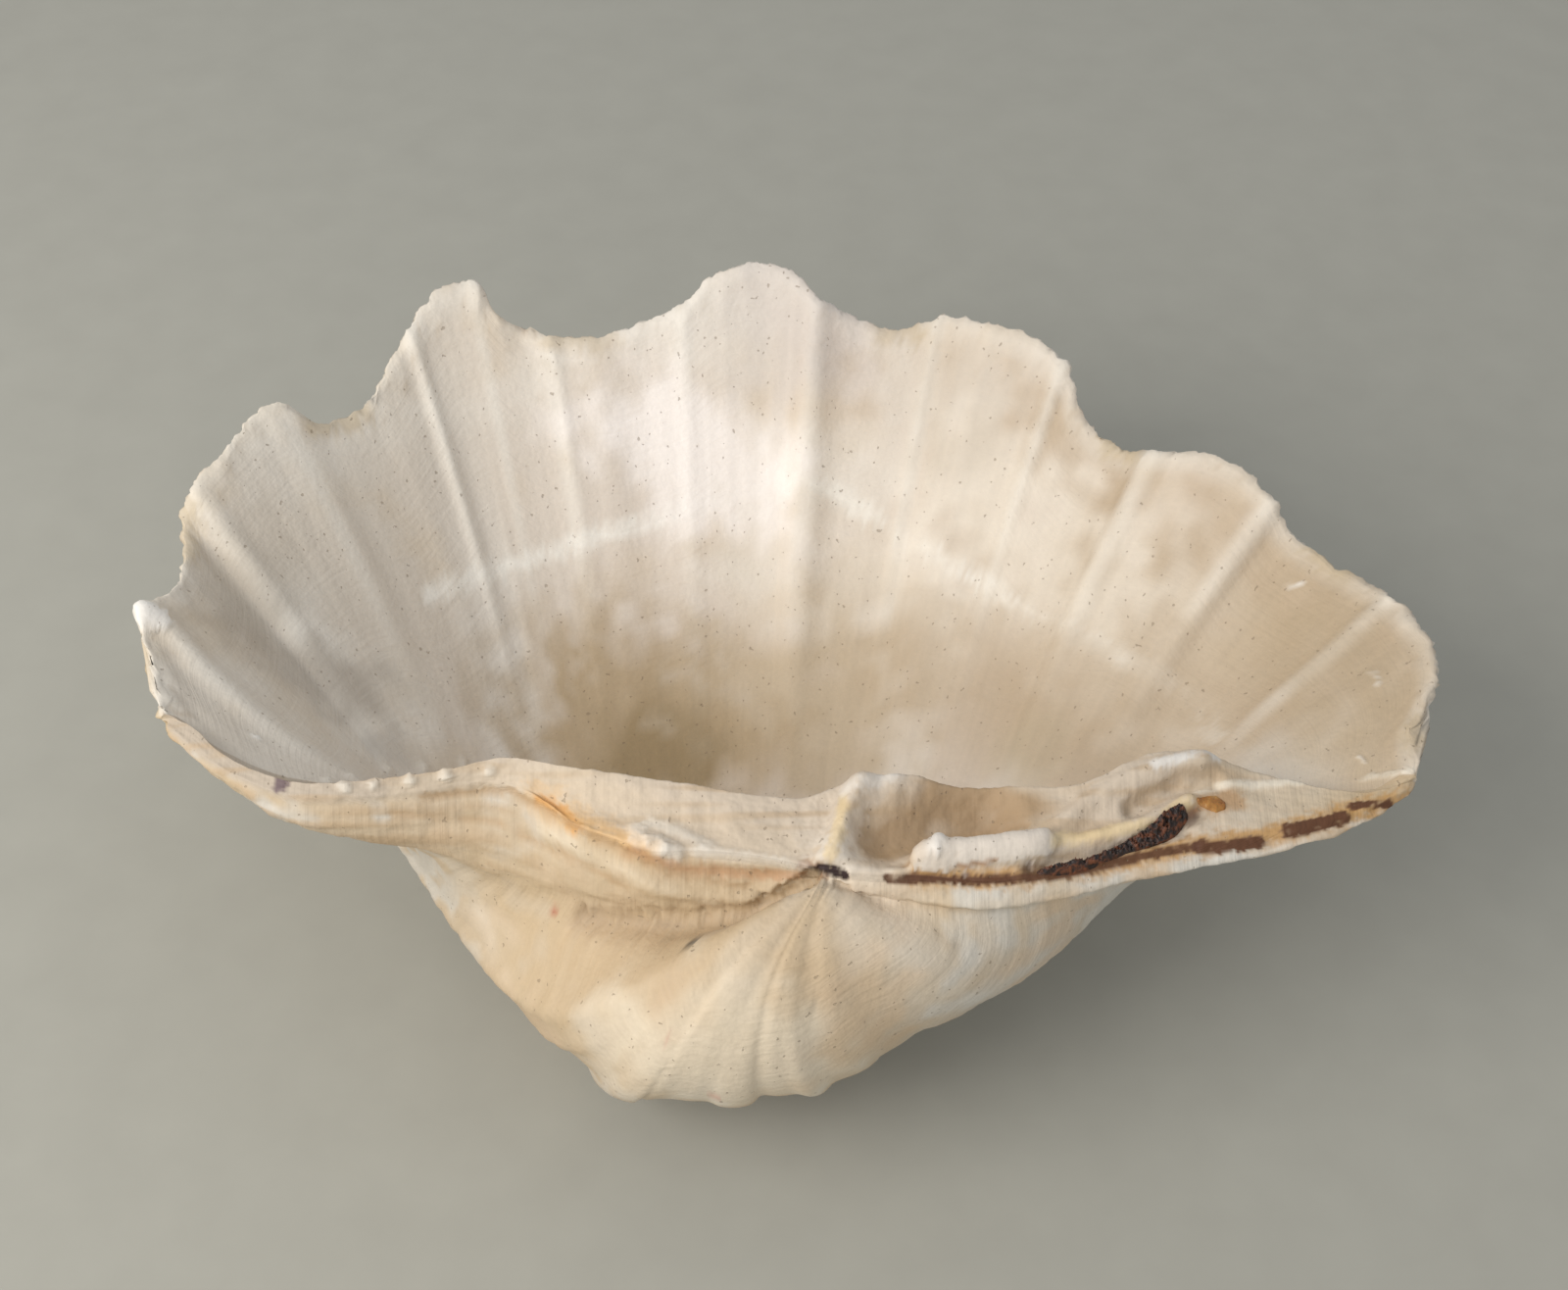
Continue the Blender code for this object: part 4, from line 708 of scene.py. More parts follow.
print("fan ready")

# %% [markdown]
# ## The outer face
# A flare under the plate, then the ribbed growth surface, flat where it rests.

# %%
FLARE_ROWS = FLARE_STEPS / OUTER_ROWS


def outer_relief(size):
    """How much of the scallops the ribs of the outer face keep at a share of full size."""
    return BEAK_RELIEF + (1 - BEAK_RELIEF) * smooth(*RELIEF_SIZES, size)


def rib_swell(share, size):
    """How far the ribs stand out of the growth surface: worn at the beak, gone at the lips."""
    from_end = np.minimum(share, 1 - share)
    on_rib = smooth(*RIB_STANDING, scallop(share)) * smooth(*RIB_ENDS, from_end)
    return RIB_SWELL * on_rib * smooth(*RIB_SIZES, size) * (1 - smooth(*RIB_FADE, size))


def outer_point(column, row):
    """The outer face: a narrow flare under the plate's edge, then the coiled growth surface."""
    fan_row = np.clip((row - FLARE_ROWS) / (1 - FLARE_ROWS), 0.0, 1.0)
    share, size = fan_position(column, fan_row)
    relief = outer_relief(size)
    body = grown(share, size, relief)
    body = body - inward(share, size, relief) * rib_swell(share, size)[..., None]
    lift = np.maximum(REST_DEPTH - body @ np.array(REST_UP), 0.0)
    body = body + lift[..., None] * np.array(REST_UP)
    edge = on_rail(HINGE_EDGE, column)
    edge[..., 2] -= EDGE_ROUND
    part = np.clip(row / FLARE_ROWS, 0.0, 1.0)[..., None]
    swell = np.sin(math.pi * part[..., 0]) * FLARE_SWELL * smooth(*FLARE_SIZES, size)
    swell *= np.sin(math.pi * column) ** 0.5
    flare = edge * (1 - part) + body * part
    flare[..., 1] -= swell
    return np.where((row < FLARE_ROWS)[..., None], flare, body)


print("outer face ready")

# %% [markdown]
# ## The bowl
# The growth surface, smoothed and moved in by the thickness of the wall.

# %%
PLATE_ROWS = PLATE_STEPS / INNER_ROWS
WALL_ROWS = (PLATE_STEPS + WALL_STEPS) / INNER_ROWS


def wall_thickness(size):
    """Thickness of the shell wall at a share of full size."""
    return LIP_THICKNESS + (BOWL_THICKNESS - LIP_THICKNESS) * (1 - smooth(*THINNING, size))


def bowl_relief(share, size):
    """How much of the scallops the bowl keeps: ribs fill in, folds stay clear of the outer face."""
    filled = smooth(*FILLED_SIZES, size)
    spare = (wall_thickness(size) - LEAST_WALL) / (SCALLOP_DEPTH * np.maximum(size, 0.1))
    folded = np.maximum(filled, outer_relief(size) - spare)
    return filled + (folded - filled) * smooth(*FOLD_SIDES, scallop(share))


def bowl_point(share, size):
    """The inner face of the bowl: the growth surface, smoothed and moved in by the wall."""
    relief = bowl_relief(share, size)
    rise = wall_thickness(size)
    for index, tall in RIDGES.items():
        away = (share - RIM_SHARES[index]) * RIM_LENGTH * size
        width = RIDGE_WIDTH * (1.0 + RIDGE_SPREAD * (1 - size))
        ridge = RIDGE_SHARPNESS * tall * np.exp(-(away / width) ** 2 * RIDGE_FALL)
        rise = rise + ridge * smooth(*RIDGE_SIZES, size)
    return grown(share, size, relief) + inward(share, size, relief) * rise[..., None]


print("bowl ready")

# %% [markdown]
# ## The hinge plate
# The plate with its teeth, and the wall under its crest.

# %%


def near_line(x, y, line, half_width):
    """1 on a line of x, y points, falling softly to 0 at half_width from it."""
    away = np.full(x.shape, np.inf)
    for (ax, ay), (bx, by) in zip(line[:-1], line[1:]):
        dx, dy = bx - ax, by - ay
        part = np.clip(((x - ax) * dx + (y - ay) * dy) / (dx * dx + dy * dy), 0.0, 1.0)
        away = np.minimum(away, np.hypot(x - ax - part * dx, y - ay - part * dy))
    return 1 - smooth(0.0, half_width, away)


def plate_relief(x, y):
    """Height of the teeth, socket and grooves of the hinge plate over its plain surface."""
    height = np.zeros(x.shape)
    for line, half_width, tall in PLATE_SHAPES.values():
        height = height + tall * near_line(x, y, line, half_width)
    return height


def inner_point(column, row):
    """The inner face: the hinge plate, the wall under its crest, then the bowl."""
    edge = on_rail(HINGE_EDGE, column)
    crest = on_rail(PLATE_CREST, column)
    across = crest - edge
    across /= np.linalg.norm(across, axis=-1, keepdims=True) + 1e-9
    edge = edge + across * EDGE_ROUND
    part = np.clip(row / PLATE_ROWS, 0.0, 1.0)[..., None]
    plate = edge * (1 - part) + crest * part
    fan_row = BOWL_START + (1 - BOWL_START) * np.clip((row - WALL_ROWS) / (1 - WALL_ROWS), 0.0, 1.0)
    share, size = fan_position(column, fan_row)
    bowl = bowl_point(share, size)
    foot_share, foot_size = fan_position(column, np.full_like(row, BOWL_START))
    foot = bowl_point(foot_share, foot_size)
    down = np.clip((row - PLATE_ROWS) / (WALL_ROWS - PLATE_ROWS), 0.0, 1.0)[..., None]
    bend = crest + (foot - crest) * np.array((0.0,) + WALL_BELLY)
    bend[..., 1] += CREST_OVERHANG * np.sin(math.pi * column)
    wall = crest * (1 - down) ** 2 + bend * 2 * down * (1 - down) + foot * down ** 2
    point = np.where((row < PLATE_ROWS)[..., None], plate, wall)
    width_share = row / PLATE_ROWS
    inside = smooth(*PLATE_START, width_share) * (1 - smooth(*PLATE_END, width_share))
    point[..., 2] += inside * plate_relief(point[..., 0], point[..., 1])
    return np.where((row >= WALL_ROWS)[..., None], bowl, point)


print("hinge plate ready")

# %% [markdown]
# ## The grown surfaces as fine meshes
# A grid is made by an operator and each of its vertices is carried to its place on the shell.
# The growth position of each vertex is kept, because the markings follow growth.

# %%


def carried_grid(columns, rows, place, inside):
    """A grid carried to place(column, row), with its growth position kept in three layers."""
    bm = bmesh.new()
    bmesh.ops.create_grid(bm, x_segments=columns, y_segments=rows, size=0.5)
    flat = np.clip(np.array([vert.co[:2] for vert in bm.verts]) + 0.5, 0.0, 1.0)
    moved = place(flat[:, 0], flat[:, 1])
    start = BOWL_START if inside else 0.0
    first = WALL_ROWS if inside else FLARE_ROWS
    fan_row = start + (1 - start) * np.clip((flat[:, 1] - first) / (1 - first), 0.0, 1.0)
    share, size = fan_position(flat[:, 0], fan_row)
    grown_part = np.where(flat[:, 1] >= first, 1.0, 0.0)
    names = ("share", "size", "bowl")
    layers = [bm.verts.layers.float.new(name) for name in names]
    side = bm.verts.layers.float.new("inside")
    for k, vert in enumerate(bm.verts):
        vert.co = moved[k]
        vert[side] = 1.0 if inside else 0.0
        for layer, values in zip(layers, (share, size, grown_part)):
            vert[layer] = values[k]
    return bm


outer = carried_grid(COLUMNS, OUTER_ROWS, outer_point, False)
outer_mesh = bpy.data.meshes.new("outer_face")
outer.to_mesh(outer_mesh)
outer.free()
valve = carried_grid(COLUMNS, INNER_ROWS, inner_point, True)
valve.from_mesh(outer_mesh)
print("two faces of the shell with", len(valve.verts), "vertices")

# %% [markdown]
# ## Closing the lips
# The two faces are joined round their edge, and the new band is cut and softened so that the
# lips and the hinge edge are round.

# %%


def soften(verts, passes):
    """Move each vertex halfway to the middle of its neighbours, several times."""
    for pass_number in range(passes):
        bmesh.ops.smooth_vert(valve, verts=verts, factor=0.5, use_axis_x=True,
                              use_axis_y=True, use_axis_z=True)


open_edges = [edge for edge in valve.edges if edge.is_boundary]
band = bmesh.ops.bridge_loops(valve, edges=open_edges)["faces"]
crossing = {edge for face in band for edge in face.edges} - set(open_edges)
crossing = [edge for edge in crossing if edge.is_valid and edge.calc_length() > LONG_EDGE]
bmesh.ops.subdivide_edges(valve, edges=crossing, cuts=EDGE_CUTS, use_grid_fill=True)
bmesh.ops.remove_doubles(valve, verts=valve.verts, dist=WELD)
bmesh.ops.recalc_face_normals(valve, faces=valve.faces)
soften(valve.verts, SOFTENING_PASSES)
share_layer = valve.verts.layers.float["share"]
size_layer = valve.verts.layers.float["size"]
inside_layer = valve.verts.layers.float["inside"]
bowl_layer = valve.verts.layers.float["bowl"]
tight, lower_wall = [], []
for vert in valve.verts:
    away = min(abs(vert[share_layer] - RIM_SHARES[index]) for index in TIGHT_FOLDS)
    in_bowl = vert[inside_layer] * vert[bowl_layer] > 0.5
    if in_bowl and BOWL_SIZES[0] < vert[size_layer] < BOWL_SIZES[1]:
        if away * RIM_LENGTH * vert[size_layer] < FOLD_REACH:
            tight.append(vert)
        if vert[size_layer] < SMOOTH_BELOW:
            lower_wall.append(vert)
soften(tight, FOLD_PASSES)
soften(lower_wall, WALL_PASSES)
bmesh.ops.triangulate(valve, faces=[face for face in valve.faces if len(face.verts) > 4])
valve_mesh = bpy.data.meshes.new("shell_looks")
valve.to_mesh(valve_mesh)
valve.free()
print("closed shell with", len(valve_mesh.polygons), "faces")

# %% [markdown]
# ## Relief too fine for the solid
# Growth lines and riblets outside, fine rays inside, a chipped lip, and the small knobs, worm
# tubes and creases in the table of marks. Each is a real displacement along the normal.

# %%
count = len(valve_mesh.vertices)
place_mm = np.empty(count * 3)
valve_mesh.vertices.foreach_get("co", place_mm)
place_mm = place_mm.reshape(-1, 3)
normal = np.empty(count * 3)
valve_mesh.vertex_normals.foreach_get("vector", normal)
normal = normal.reshape(-1, 3)


def layer_values(name):
    """The values of one float layer of the shell."""
    values = np.empty(count)
    valve_mesh.attributes[name].data.foreach_get("value", values)
    return values


share, size, inside, bowl = [layer_values(name) for name in ("share", "size", "inside", "bowl")]


def roughly(scale_share, scale_size, seed):
    """Noise, about -1 to 1, stretched along or across the growth of the shell."""
    spots = np.column_stack([share * scale_share, size * scale_size, np.full(count, seed)])
    return np.array([noise.noise(spot) for spot in spots]) * NOISE_GAIN


def near_path(path, reach, flat_part, wobble=0.0):
    """1 on a path of x, y, z points and over flat_part of reach from it, then falling to 0."""
    away = np.full(count, np.inf)
    path = np.atleast_2d(np.asarray(path, float))
    ends = path[1:] if len(path) > 1 else path
    for start, end in zip(path, ends):
        step = end - start
        part = np.clip((place_mm - start) @ step / max(step @ step, 1e-9), 0.0, 1.0)
        away = np.minimum(away, np.linalg.norm(place_mm - start - part[:, None] * step, axis=1))
    return 1 - smooth(flat_part * reach, reach, away + wobble * reach)


def noise_at(waves):
    """Noise in space, about -0.7 to 0.7."""
    return np.array([noise.noise(spot) for spot in place_mm * waves])


def each_mark():
    """Every path of every mark, with the mark's name and settings."""
    for name, (side, reach, colour, strength, height, paths) in MARKS.items():
        for path in paths:
            yield name, side, reach, colour, strength, height, path


outside = 1 - inside
grown_out = outside * bowl
rise = GROWTH_LINE_RELIEF * roughly(*COARSE_LINES) * grown_out * smooth(*COARSE_LINE_SIZES, size)
fine_lines = GROWTH_LINE_RELIEF * FINE_LINE_SHARE * roughly(*FINE_LINES)
rise += fine_lines * grown_out * smooth(*FINE_LINE_SIZES, size)
riblets = grown_out * smooth(*HINGE_SIDE, share) * (1 - smooth(*RIBLET_SIZES, size))
rise += RIBLET_RELIEF * roughly(*RIBLETS) * riblets
rise += RAY_RELIEF * roughly(*FINE_RAYS) * inside * bowl * smooth(*RAY_SIZES, size)
rise += RAY_RELIEF * roughly(*BROAD_RAYS) * inside * bowl
lip = smooth(*LIP_SIZES, size) * bowl
lumpy = noise_at(LUMP_WAVES)
lumpier = noise_at(CRUMB_WAVES)
rise += lip * (LIP_LUMPS[0] * lumpy + LIP_LUMPS[1] * lumpier)
bands = noise_at(np.array(BAND_WAVES))
rise += (1 - bowl) * (PLATE_LUMPS * (lumpy + 0.5 * lumpier) + BAND_RELIEF * bands * outside)
away = place_mm[:, :2] - np.array(BOWL_CENTRE)
away /= np.linalg.norm(away, axis=1, keepdims=True)
frayed = lip * LIP_FRAY * (noise_at(FRAY_WAVES) + 0.6 * lumpy + 0.4 * lumpier)
shifted = away * frayed[:, None]
clouds = noise_at(CLOUD_WAVES)
small_clouds = noise_at(SMALL_CLOUD_WAVES)
fades = []
for name, side, reach, colour, strength, height, path in each_mark():
    on_side = {"in": inside, "out": outside, "both": 1.0}[side]
    wobble = CRUMB_WOBBLE[0] * lumpy + CRUMB_WOBBLE[1] * lumpier
    if reach > WIDE_MARK:
        wobble = CLOUD_WOBBLE[0] * clouds + CLOUD_WOBBLE[1] * small_clouds
    fades.append(near_path(path, reach, FLAT_PARTS[name in CRISP], wobble) * on_side)
    rise += height * fades[-1]
for centre, reach, pull in PULLS.values():
    place_mm = place_mm + near_path([centre], reach, PULL_FLAT)[:, None] * np.array(pull)
place_mm = place_mm + normal * rise[:, None]
place_mm[:, :2] += shifted
print("relief from", round(rise.min(), 2), "to", round(rise.max(), 2), "mm")

# %% [markdown]
# ## The colours of the shell
# A cream ground that is cooler on the byssal side and warmer on the ligament side, peach
# outside, chalky lips, and then each mark of the table laid over it: stains, and also painted light
# and painted shade.

# %%


def blend(under, over, amount):
    """Lay one colour over another by an amount for each vertex."""
    return under + (np.asarray(over) - under) * np.asarray(amount)[:, None]


def washed(under, washes):
    """Lay colours over a first one in turn, each by its own amount."""
    for over, amount in washes:
        under = blend(under, over, amount)
    return under


x = place_mm[:, 0]
ridge = np.zeros(count)
for index in RIDGES:
    off_ridge = np.abs(share - RIM_SHARES[index]) * RIM_LENGTH * size
    ridge = np.maximum(ridge, smooth(*RIDGE_CHALK, off_ridge) * smooth(*CHALK_SIZES, size))
mottle = np.clip(0.5 + 0.9 * clouds + 0.6 * small_clouds, 0.0, 1.0)
pale = smooth(0.5, 0.62, size) * smooth(0.95, 0.7, size) * smooth(0.0, 0.8, roughly(*PALE_STREAKS))
below_line = smooth(0.60, 0.50, size + 0.03 * clouds) * smooth(-80.0, -20.0, x)
plate_colour = washed(np.tile(PLATE_CREAM, (count, 1)), [
    (PLATE_LEFT, smooth(-60.0, -95.0, x)),
    (PLATE_RIGHT, smooth(70.0, 100.0, x)),
])
out_colour = washed(np.tile(OUTSIDE_PEACH, (count, 1)), [
    (OUTSIDE_WHITE, smooth(0.0, 60.0, x) * 0.8),
    (OUTSIDE_OCHRE, 0.5 * smooth(0.1, 0.8, roughly(*OCHRE_BANDS))),
    (OUTSIDE_ORANGE, 0.6 * smooth(0.55, 0.95, mottle)),
    (OUTSIDE_WHITE, 0.7 * smooth(0.40, 0.1, mottle)),
    (PLATE_OCHRE, (1 - bowl) * smooth(0.0, 0.4, bands) * 0.7),
])
tint = washed(np.tile(INSIDE_CREAM, (count, 1)), [
    (INSIDE_COOL, 0.75 * smooth(-20, -130, x)),
    (INSIDE_WARM, 0.8 * smooth(10, 110, x)),
    (INSIDE_WHITE, 0.5 * pale * bowl),
    (FLOOR_TAN, below_line * (0.35 + 0.55 * mottle)),
    (INSIDE_TAN, smooth(20, 80, x) * 0.75 * mottle * bowl),
    (INSIDE_TAN, 0.4 * mottle * smooth(-60, 0, x) * bowl),
    (CHALK, 0.40 * ridge),
    (plate_colour, 1 - bowl),
    (PLATE_OCHRE, (1 - bowl) * smooth(0.0, 0.5, bands) * 0.6),
    (out_colour, outside),
    (CHALK, lip * 0.4),
    (DIRT, 0.35 * smooth(0.15, 0.75, lumpy) * smooth(0.9, 0.99, size) * bowl),
])
marked = np.zeros(count)
for fade, (name, side, reach, colour, strength, height, path) in zip(fades, each_mark()):
    uneven = CRUMB_WEAR[0] * lumpy + CRUMB_WEAR[1] * lumpier
    if reach > WIDE_MARK:
        uneven = CLOUD_WEAR[0] * clouds + CLOUD_WEAR[1] * small_clouds
    amount = strength * fade * np.clip(MARK_FILL + uneven, 0, 1)
    tint = blend(tint, colour, amount)
    marked = np.maximum(marked, amount)
tint = np.clip(tint, 0.01, 0.95)

world_m = (place_mm + np.array(BEAK_AT)) * MM
valve_mesh.vertices.foreach_set("co", world_m.ravel())
paint = valve_mesh.color_attributes.new("tint", "FLOAT_COLOR", "POINT")
paint.data.foreach_set("color", np.column_stack([tint, np.ones(count)]).ravel())
marked_layer = valve_mesh.attributes.new("marked", "FLOAT", "POINT")
marked_layer.data.foreach_set("value", marked)
valve_mesh.polygons.foreach_set("use_smooth", [True] * len(valve_mesh.polygons))
valve_mesh.update()
shell = bpy.data.objects.new("shell_looks", valve_mesh)
bpy.context.scene.collection.objects.link(shell)
print("painted", count, "vertices with", len(MARKS), "marks")

# %% [markdown]
# ## What is left of the ligament
# A crumbly brown strip in its groove beside the hinge, and an amber flake at its end.

# %%
ground_tree = BVHTree.FromPolygons([vert.co / MM for vert in valve_mesh.vertices],
                                   [face.vertices[:] for face in valve_mesh.polygons])


def ligament_piece(name, line, widths, heights, steps, crumble):
    """A strip lying along a line on the hinge plate, sunk a little into it, with a rough top."""
    marks = np.linspace(0.0, 1.0, len(widths))
    bm = bmesh.new()
    bmesh.ops.create_grid(bm, x_segments=steps, y_segments=STRIP_STEPS, size=0.5)
    top = list(bm.verts)
    flat = np.array([vert.co[:2] for vert in top]) + 0.5
    along, across = np.clip(flat[:, 0], 0, 1), np.clip(flat[:, 1], 0, 1)
    heading = curve_through(line, along + 0.02) - curve_through(line, along - 0.02)
    heading /= np.linalg.norm(heading, axis=-1, keepdims=True)
    side = np.stack([-heading[:, 1], heading[:, 0]], -1)
    wide = np.interp(along, marks, widths)
    spot = curve_through(line, along) + side * ((across - 0.5) * wide)[:, None]
    tall = np.interp(along, marks, heights) * np.sin(math.pi * across) ** 0.6
    tall = tall * smooth(0.0, 0.04, along) * smooth(1.0, 0.96, along)
    for vert, (at_x, at_y), height in zip(top, spot, tall):
        ray_start = Vector((at_x + BEAK_AT[0], at_y + BEAK_AT[1], BEAK_AT[2] + 60.0))
        hit = ground_tree.ray_cast(ray_start, Vector((0, 0, -1)))[0]
        low = hit.z if hit else BEAK_AT[2]
        rough = noise.noise((at_x * 0.9, at_y * 0.9, 4.0))
        rough += noise.noise((at_x * 2.6, at_y * 2.6, 1.0))
        up = low - 0.25 + height * (1 + crumble * rough)
        vert.co = (ray_start.x, ray_start.y, up)
    bmesh.ops.recalc_face_normals(bm, faces=bm.faces)
    rim = [edge for edge in bm.edges if edge.is_boundary]
    skirt = bmesh.ops.extrude_edge_only(bm, edges=rim)["geom"]
    skirt = [item for item in skirt if isinstance(item, bmesh.types.BMVert)]
    bmesh.ops.translate(bm, verts=skirt, vec=(0, 0, -0.8))
    bmesh.ops.holes_fill(bm, edges=[edge for edge in bm.edges if edge.is_boundary], sides=0)
    bmesh.ops.recalc_face_normals(bm, faces=bm.faces)
    bmesh.ops.scale(bm, verts=bm.verts, vec=(MM, MM, MM))
    mesh = bpy.data.meshes.new(name)
    bm.to_mesh(mesh)
    bm.free()
    mesh.polygons.foreach_set("use_smooth", [True] * len(mesh.polygons))
    piece = bpy.data.objects.new(name, mesh)
    bpy.context.scene.collection.objects.link(piece)
    print(name, "with", len(mesh.polygons), "faces")
    return piece


strip = ligament_piece("ligament_strip_looks", STRIP_LINE, STRIP_WIDTHS, STRIP_HEIGHTS, 160, 0.55)
chip = ligament_piece("ligament_chip_looks", CHIP_LINE, CHIP_WIDTHS, CHIP_HEIGHTS, 30, 0.2)

# %% [markdown]
# ## Writing shader sums as plain sums
# A wire wraps one socket. Adding or multiplying wires makes the maths nodes.

# %%


class Wire:
    """A shader socket that can stand in a sum."""

    tree = None

    def __init__(self, socket):
        self.socket = socket

    @staticmethod
    def node(kind, inputs=None, output=0, **settings):
        """Any node, with its settings made first and then its inputs joined or set."""
        made = Wire.tree.nodes.new(kind)
        for name, value in settings.items():
            setattr(made, name, value)
        for name, value in (inputs or {}).items():
            if isinstance(value, Wire):
                Wire.tree.links.new(value.socket, made.inputs[name])
            else:
                made.inputs[name].default_value = value
        return Wire(made.outputs[output])

    @staticmethod
    def sum_of(operation, first, second):
        """One maths node."""
        return Wire.node("ShaderNodeMath", {0: first, 1: second}, operation=operation)

    def __add__(self, other):
        return Wire.sum_of("ADD", self, other)

    def __radd__(self, other):
        return Wire.sum_of("ADD", other, self)

    def __sub__(self, other):
        return Wire.sum_of("SUBTRACT", self, other)

    def __rsub__(self, other):
        return Wire.sum_of("SUBTRACT", other, self)

    def __mul__(self, other):
        return Wire.sum_of("MULTIPLY", self, other)

    def __rmul__(self, other):
        return Wire.sum_of("MULTIPLY", other, self)

    def step(self, low, high):
        """A soft step from 0 at low to 1 at high."""
        return Wire.node("ShaderNodeMapRange", {0: self, 1: low, 2: high},
                         interpolation_type="SMOOTHSTEP")


def mixed(amount, under, over):
    """Lay one colour over another."""
    return Wire.node("ShaderNodeMix", {0: amount, 6: under, 7: over}, output=2,
                     data_type="RGBA")


def cloud(vector, scale, detail=4.0, output=0):
    """Soft noise from 0 to 1."""
    settings = {"Vector": vector, "Scale": scale, "Detail": detail}
    return Wire.node("ShaderNodeTexNoise", settings, output=output)


def layer_wire(name):
    """A float layer of the shell."""
    return Wire.node("ShaderNodeAttribute", output=2, attribute_name=name)


def object_place():
    """The place in the object's own frame."""
    return Wire.node("ShaderNodeTexCoord", output=3)


def bump(height, strength):
    """A bumped normal."""
    settings = {"Height": height, "Strength": strength, "Distance": BUMP_DISTANCE}
    return Wire.node("ShaderNodeBump", settings)


def join(shader, **wires):
    """Join wires to the shader, an underline in a name standing for a space."""
    for name, wire in wires.items():
        Wire.tree.links.new(wire.socket, shader.inputs[name.replace("_", " ")])


def start_material(name, sub=0.0):
    """A new Principled material whose tree the wires now join."""
    material = bpy.data.materials.new(name)
    material.use_nodes = True
    Wire.tree = material.node_tree
    shader = material.node_tree.nodes["Principled BSDF"]
    shader.inputs["Subsurface Weight"].default_value = sub
    shader.inputs["Subsurface Scale"].default_value = SUBSURFACE_SCALE
    return material, shader


# %% [markdown]
# ## The chalky shell
# Fine rays and growth lines follow the growth position; specks and pores follow the object.

# %%
chalk, shader = start_material("chalky_shell")
place = object_place()
tinted = Wire.node("ShaderNodeAttribute", output=0, attribute_name="tint")
share_wire, size_wire, inside_wire, bowl_wire, marked_wire = [
    layer_wire(name) for name in ("share", "size", "inside", "bowl", "marked")]
rays, lines = [
    cloud(Wire.node("ShaderNodeCombineXYZ", {0: share_wire * along, 1: size_wire * across}),
          1.0, detail)
    for (along, across), detail in ((RAY_WAVES, 1.0), (LINE_WAVES, 2.0))]
grain = cloud(place, GRAIN_SCALE, 1.0)
blotch = cloud(place, BLOTCH_SCALE)
pits = cloud(place, PIT_SCALE, 2.0)
pores = cloud(place, PORE_SCALE, 1.0).step(*PORE_STEP)
bowl_streak = bowl_wire * rays + (1.0 - bowl_wire) * blotch
streak = inside_wire * bowl_streak + (1.0 - inside_wire) * lines
shade = 0.84 + 0.14 * streak + 0.10 * blotch + 0.08 * grain
shaded = Wire.node("ShaderNodeVectorMath", {0: tinted, "Scale": shade}, operation="SCALE")
clean = 1.0 - marked_wire
warm_patch = mixed(blotch.step(*WARM_STEP) * 0.42 * clean, shaded, WARM_PATCH)
pale_amount = cloud(place, PALE_SCALE).step(*PALE_STEP) * 0.45 * clean
pale_patch = mixed(pale_amount, warm_patch, PALE_PATCH)
specked = mixed(pores * 0.5, pale_patch, SPECK)
rough = 0.50 + 0.22 * blotch + 0.08 * grain
height = 0.4 * lines + 0.35 * grain + 0.5 * pits - 0.6 * pores
join(shader, Base_Color=specked, Roughness=rough, Normal=bump(height, 0.55))
valve_mesh.materials.append(chalk)
print("chalky shell uses", len(Wire.tree.nodes), "nodes")

# %% [markdown]
# ## The dried ligament
# Dark brown crumbs flecked with red-brown, and an amber flake with a shine.

# %%


def ligament_material(name, dark, light, roughness, sub, grain_size):
    """A crumbly organic material that varies between two colours."""
    material, shader = start_material(name, sub)
    crumbs = cloud(object_place(), grain_size, 6.0)
    join(shader, Base_Color=mixed(crumbs.step(0.42, 0.66), dark, light),
         Roughness=roughness + 0.2 * crumbs, Normal=bump(crumbs, 0.6))
    return material


brown = ligament_material("dried_ligament", BROWN_DARK, BROWN_LIGHT, 0.42, 0.0, 700.0)
amber = ligament_material("amber_ligament", AMBER_DARK, AMBER_LIGHT, 0.25, 0.1, 200.0)
strip.data.materials.append(brown)
chip.data.materials.append(amber)
print("ligament materials made")

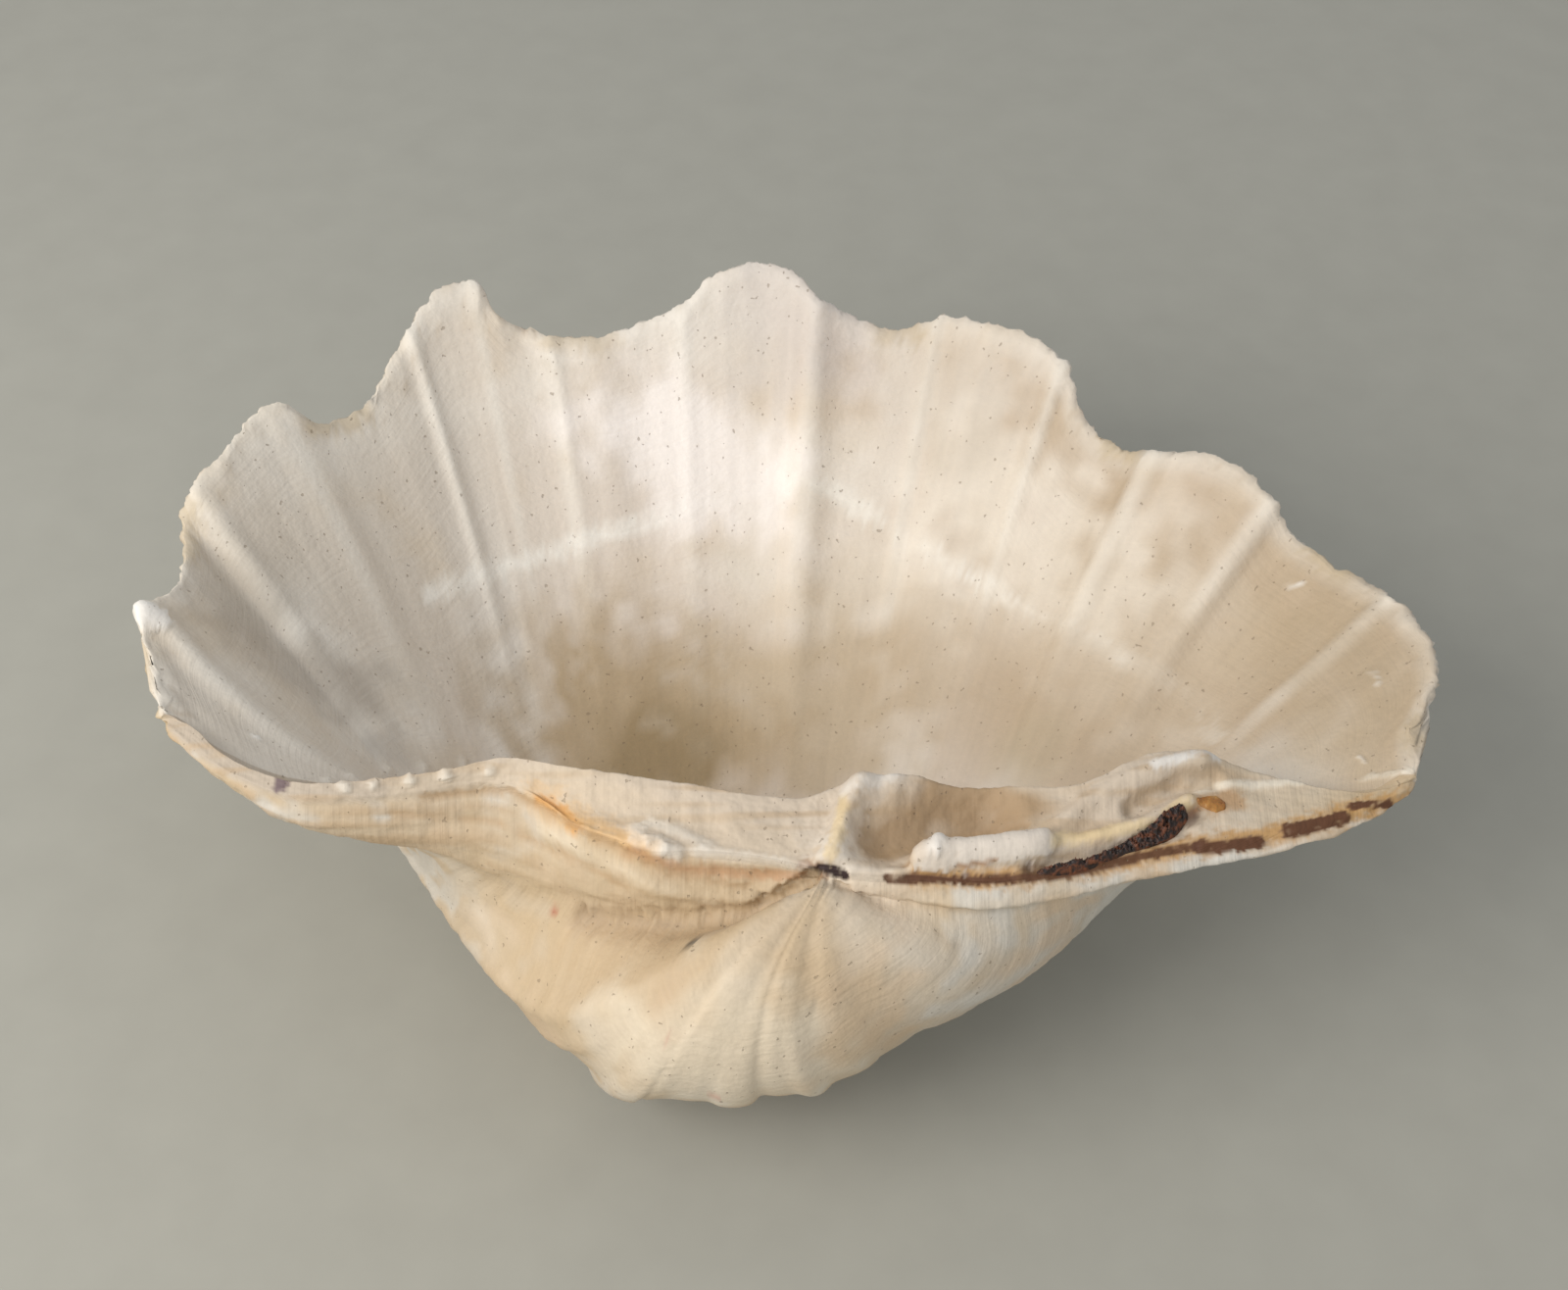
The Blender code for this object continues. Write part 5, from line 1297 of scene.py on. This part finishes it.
# %% [markdown]
# ## Joining the looks to the solids
# Each piece rides on the body and stands for its solid.

# %%
for piece, node, slot_name in ((shell, "shell", "chalky_shell"),
                               (strip, "ligament_strip", "dried_ligament"),
                               (chip, "ligament_chip", "amber_ligament")):
    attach(piece, "root")
    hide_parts(node)
print("pieces stand for", list(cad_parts))

# %% [markdown]
# ## Ground, light and camera
# A plain pale ground, a broad soft light from the upper left, and the camera at the
# photograph's angle.

# %%
bpy.ops.mesh.primitive_plane_add(size=GROUND_SIZE, location=(0.0, 0.0, GROUND_HEIGHT))
ground = bpy.context.object
ground.name = "ground"
paper, shader = start_material("pale_ground")
join(shader, Base_Color=mixed(cloud(object_place(), 60.0, 3.0), GROUND_DARK, GROUND_LIGHT))
shader.inputs["Roughness"].default_value = 0.95
ground.data.materials.append(paper)


def soft_light(name, place, target, width, power, colour):
    """A square area light aimed at a point."""
    data = bpy.data.lights.new(name, "AREA")
    data.size = width
    data.energy = power
    data.color = colour
    lamp = bpy.data.objects.new(name, data)
    lamp.location = place
    lamp.rotation_euler = (Vector(target) - Vector(place)).to_track_quat("-Z", "Y").to_euler()
    bpy.context.scene.collection.objects.link(lamp)
    return lamp


for name, (spot, width, power, colour) in LIGHTS.items():
    soft_light(name, spot, LIGHTS_AIM, width, power, colour)
sky = bpy.data.worlds.new("studio")
sky.use_nodes = True
sky.node_tree.nodes["Background"].inputs["Color"].default_value = SKY_COLOUR
sky.node_tree.nodes["Background"].inputs["Strength"].default_value = SKY_STRENGTH
bpy.context.scene.world = sky

eye = bpy.data.cameras.new("camera")
eye.lens = LENS_MM
eye.sensor_width = SENSOR_MM
camera = bpy.data.objects.new("camera", eye)
camera.location = np.array(CAMERA_AT) * MM
camera.rotation_euler = (math.radians(90.0 - CAMERA_ELEVATION), 0.0, 0.0)
bpy.context.scene.collection.objects.link(camera)
bpy.context.scene.camera = camera
bpy.context.scene.view_settings.view_transform = "Standard"
bpy.context.scene.view_settings.exposure = EXPOSURE
print("camera at", tuple(round(v, 3) for v in camera.location))
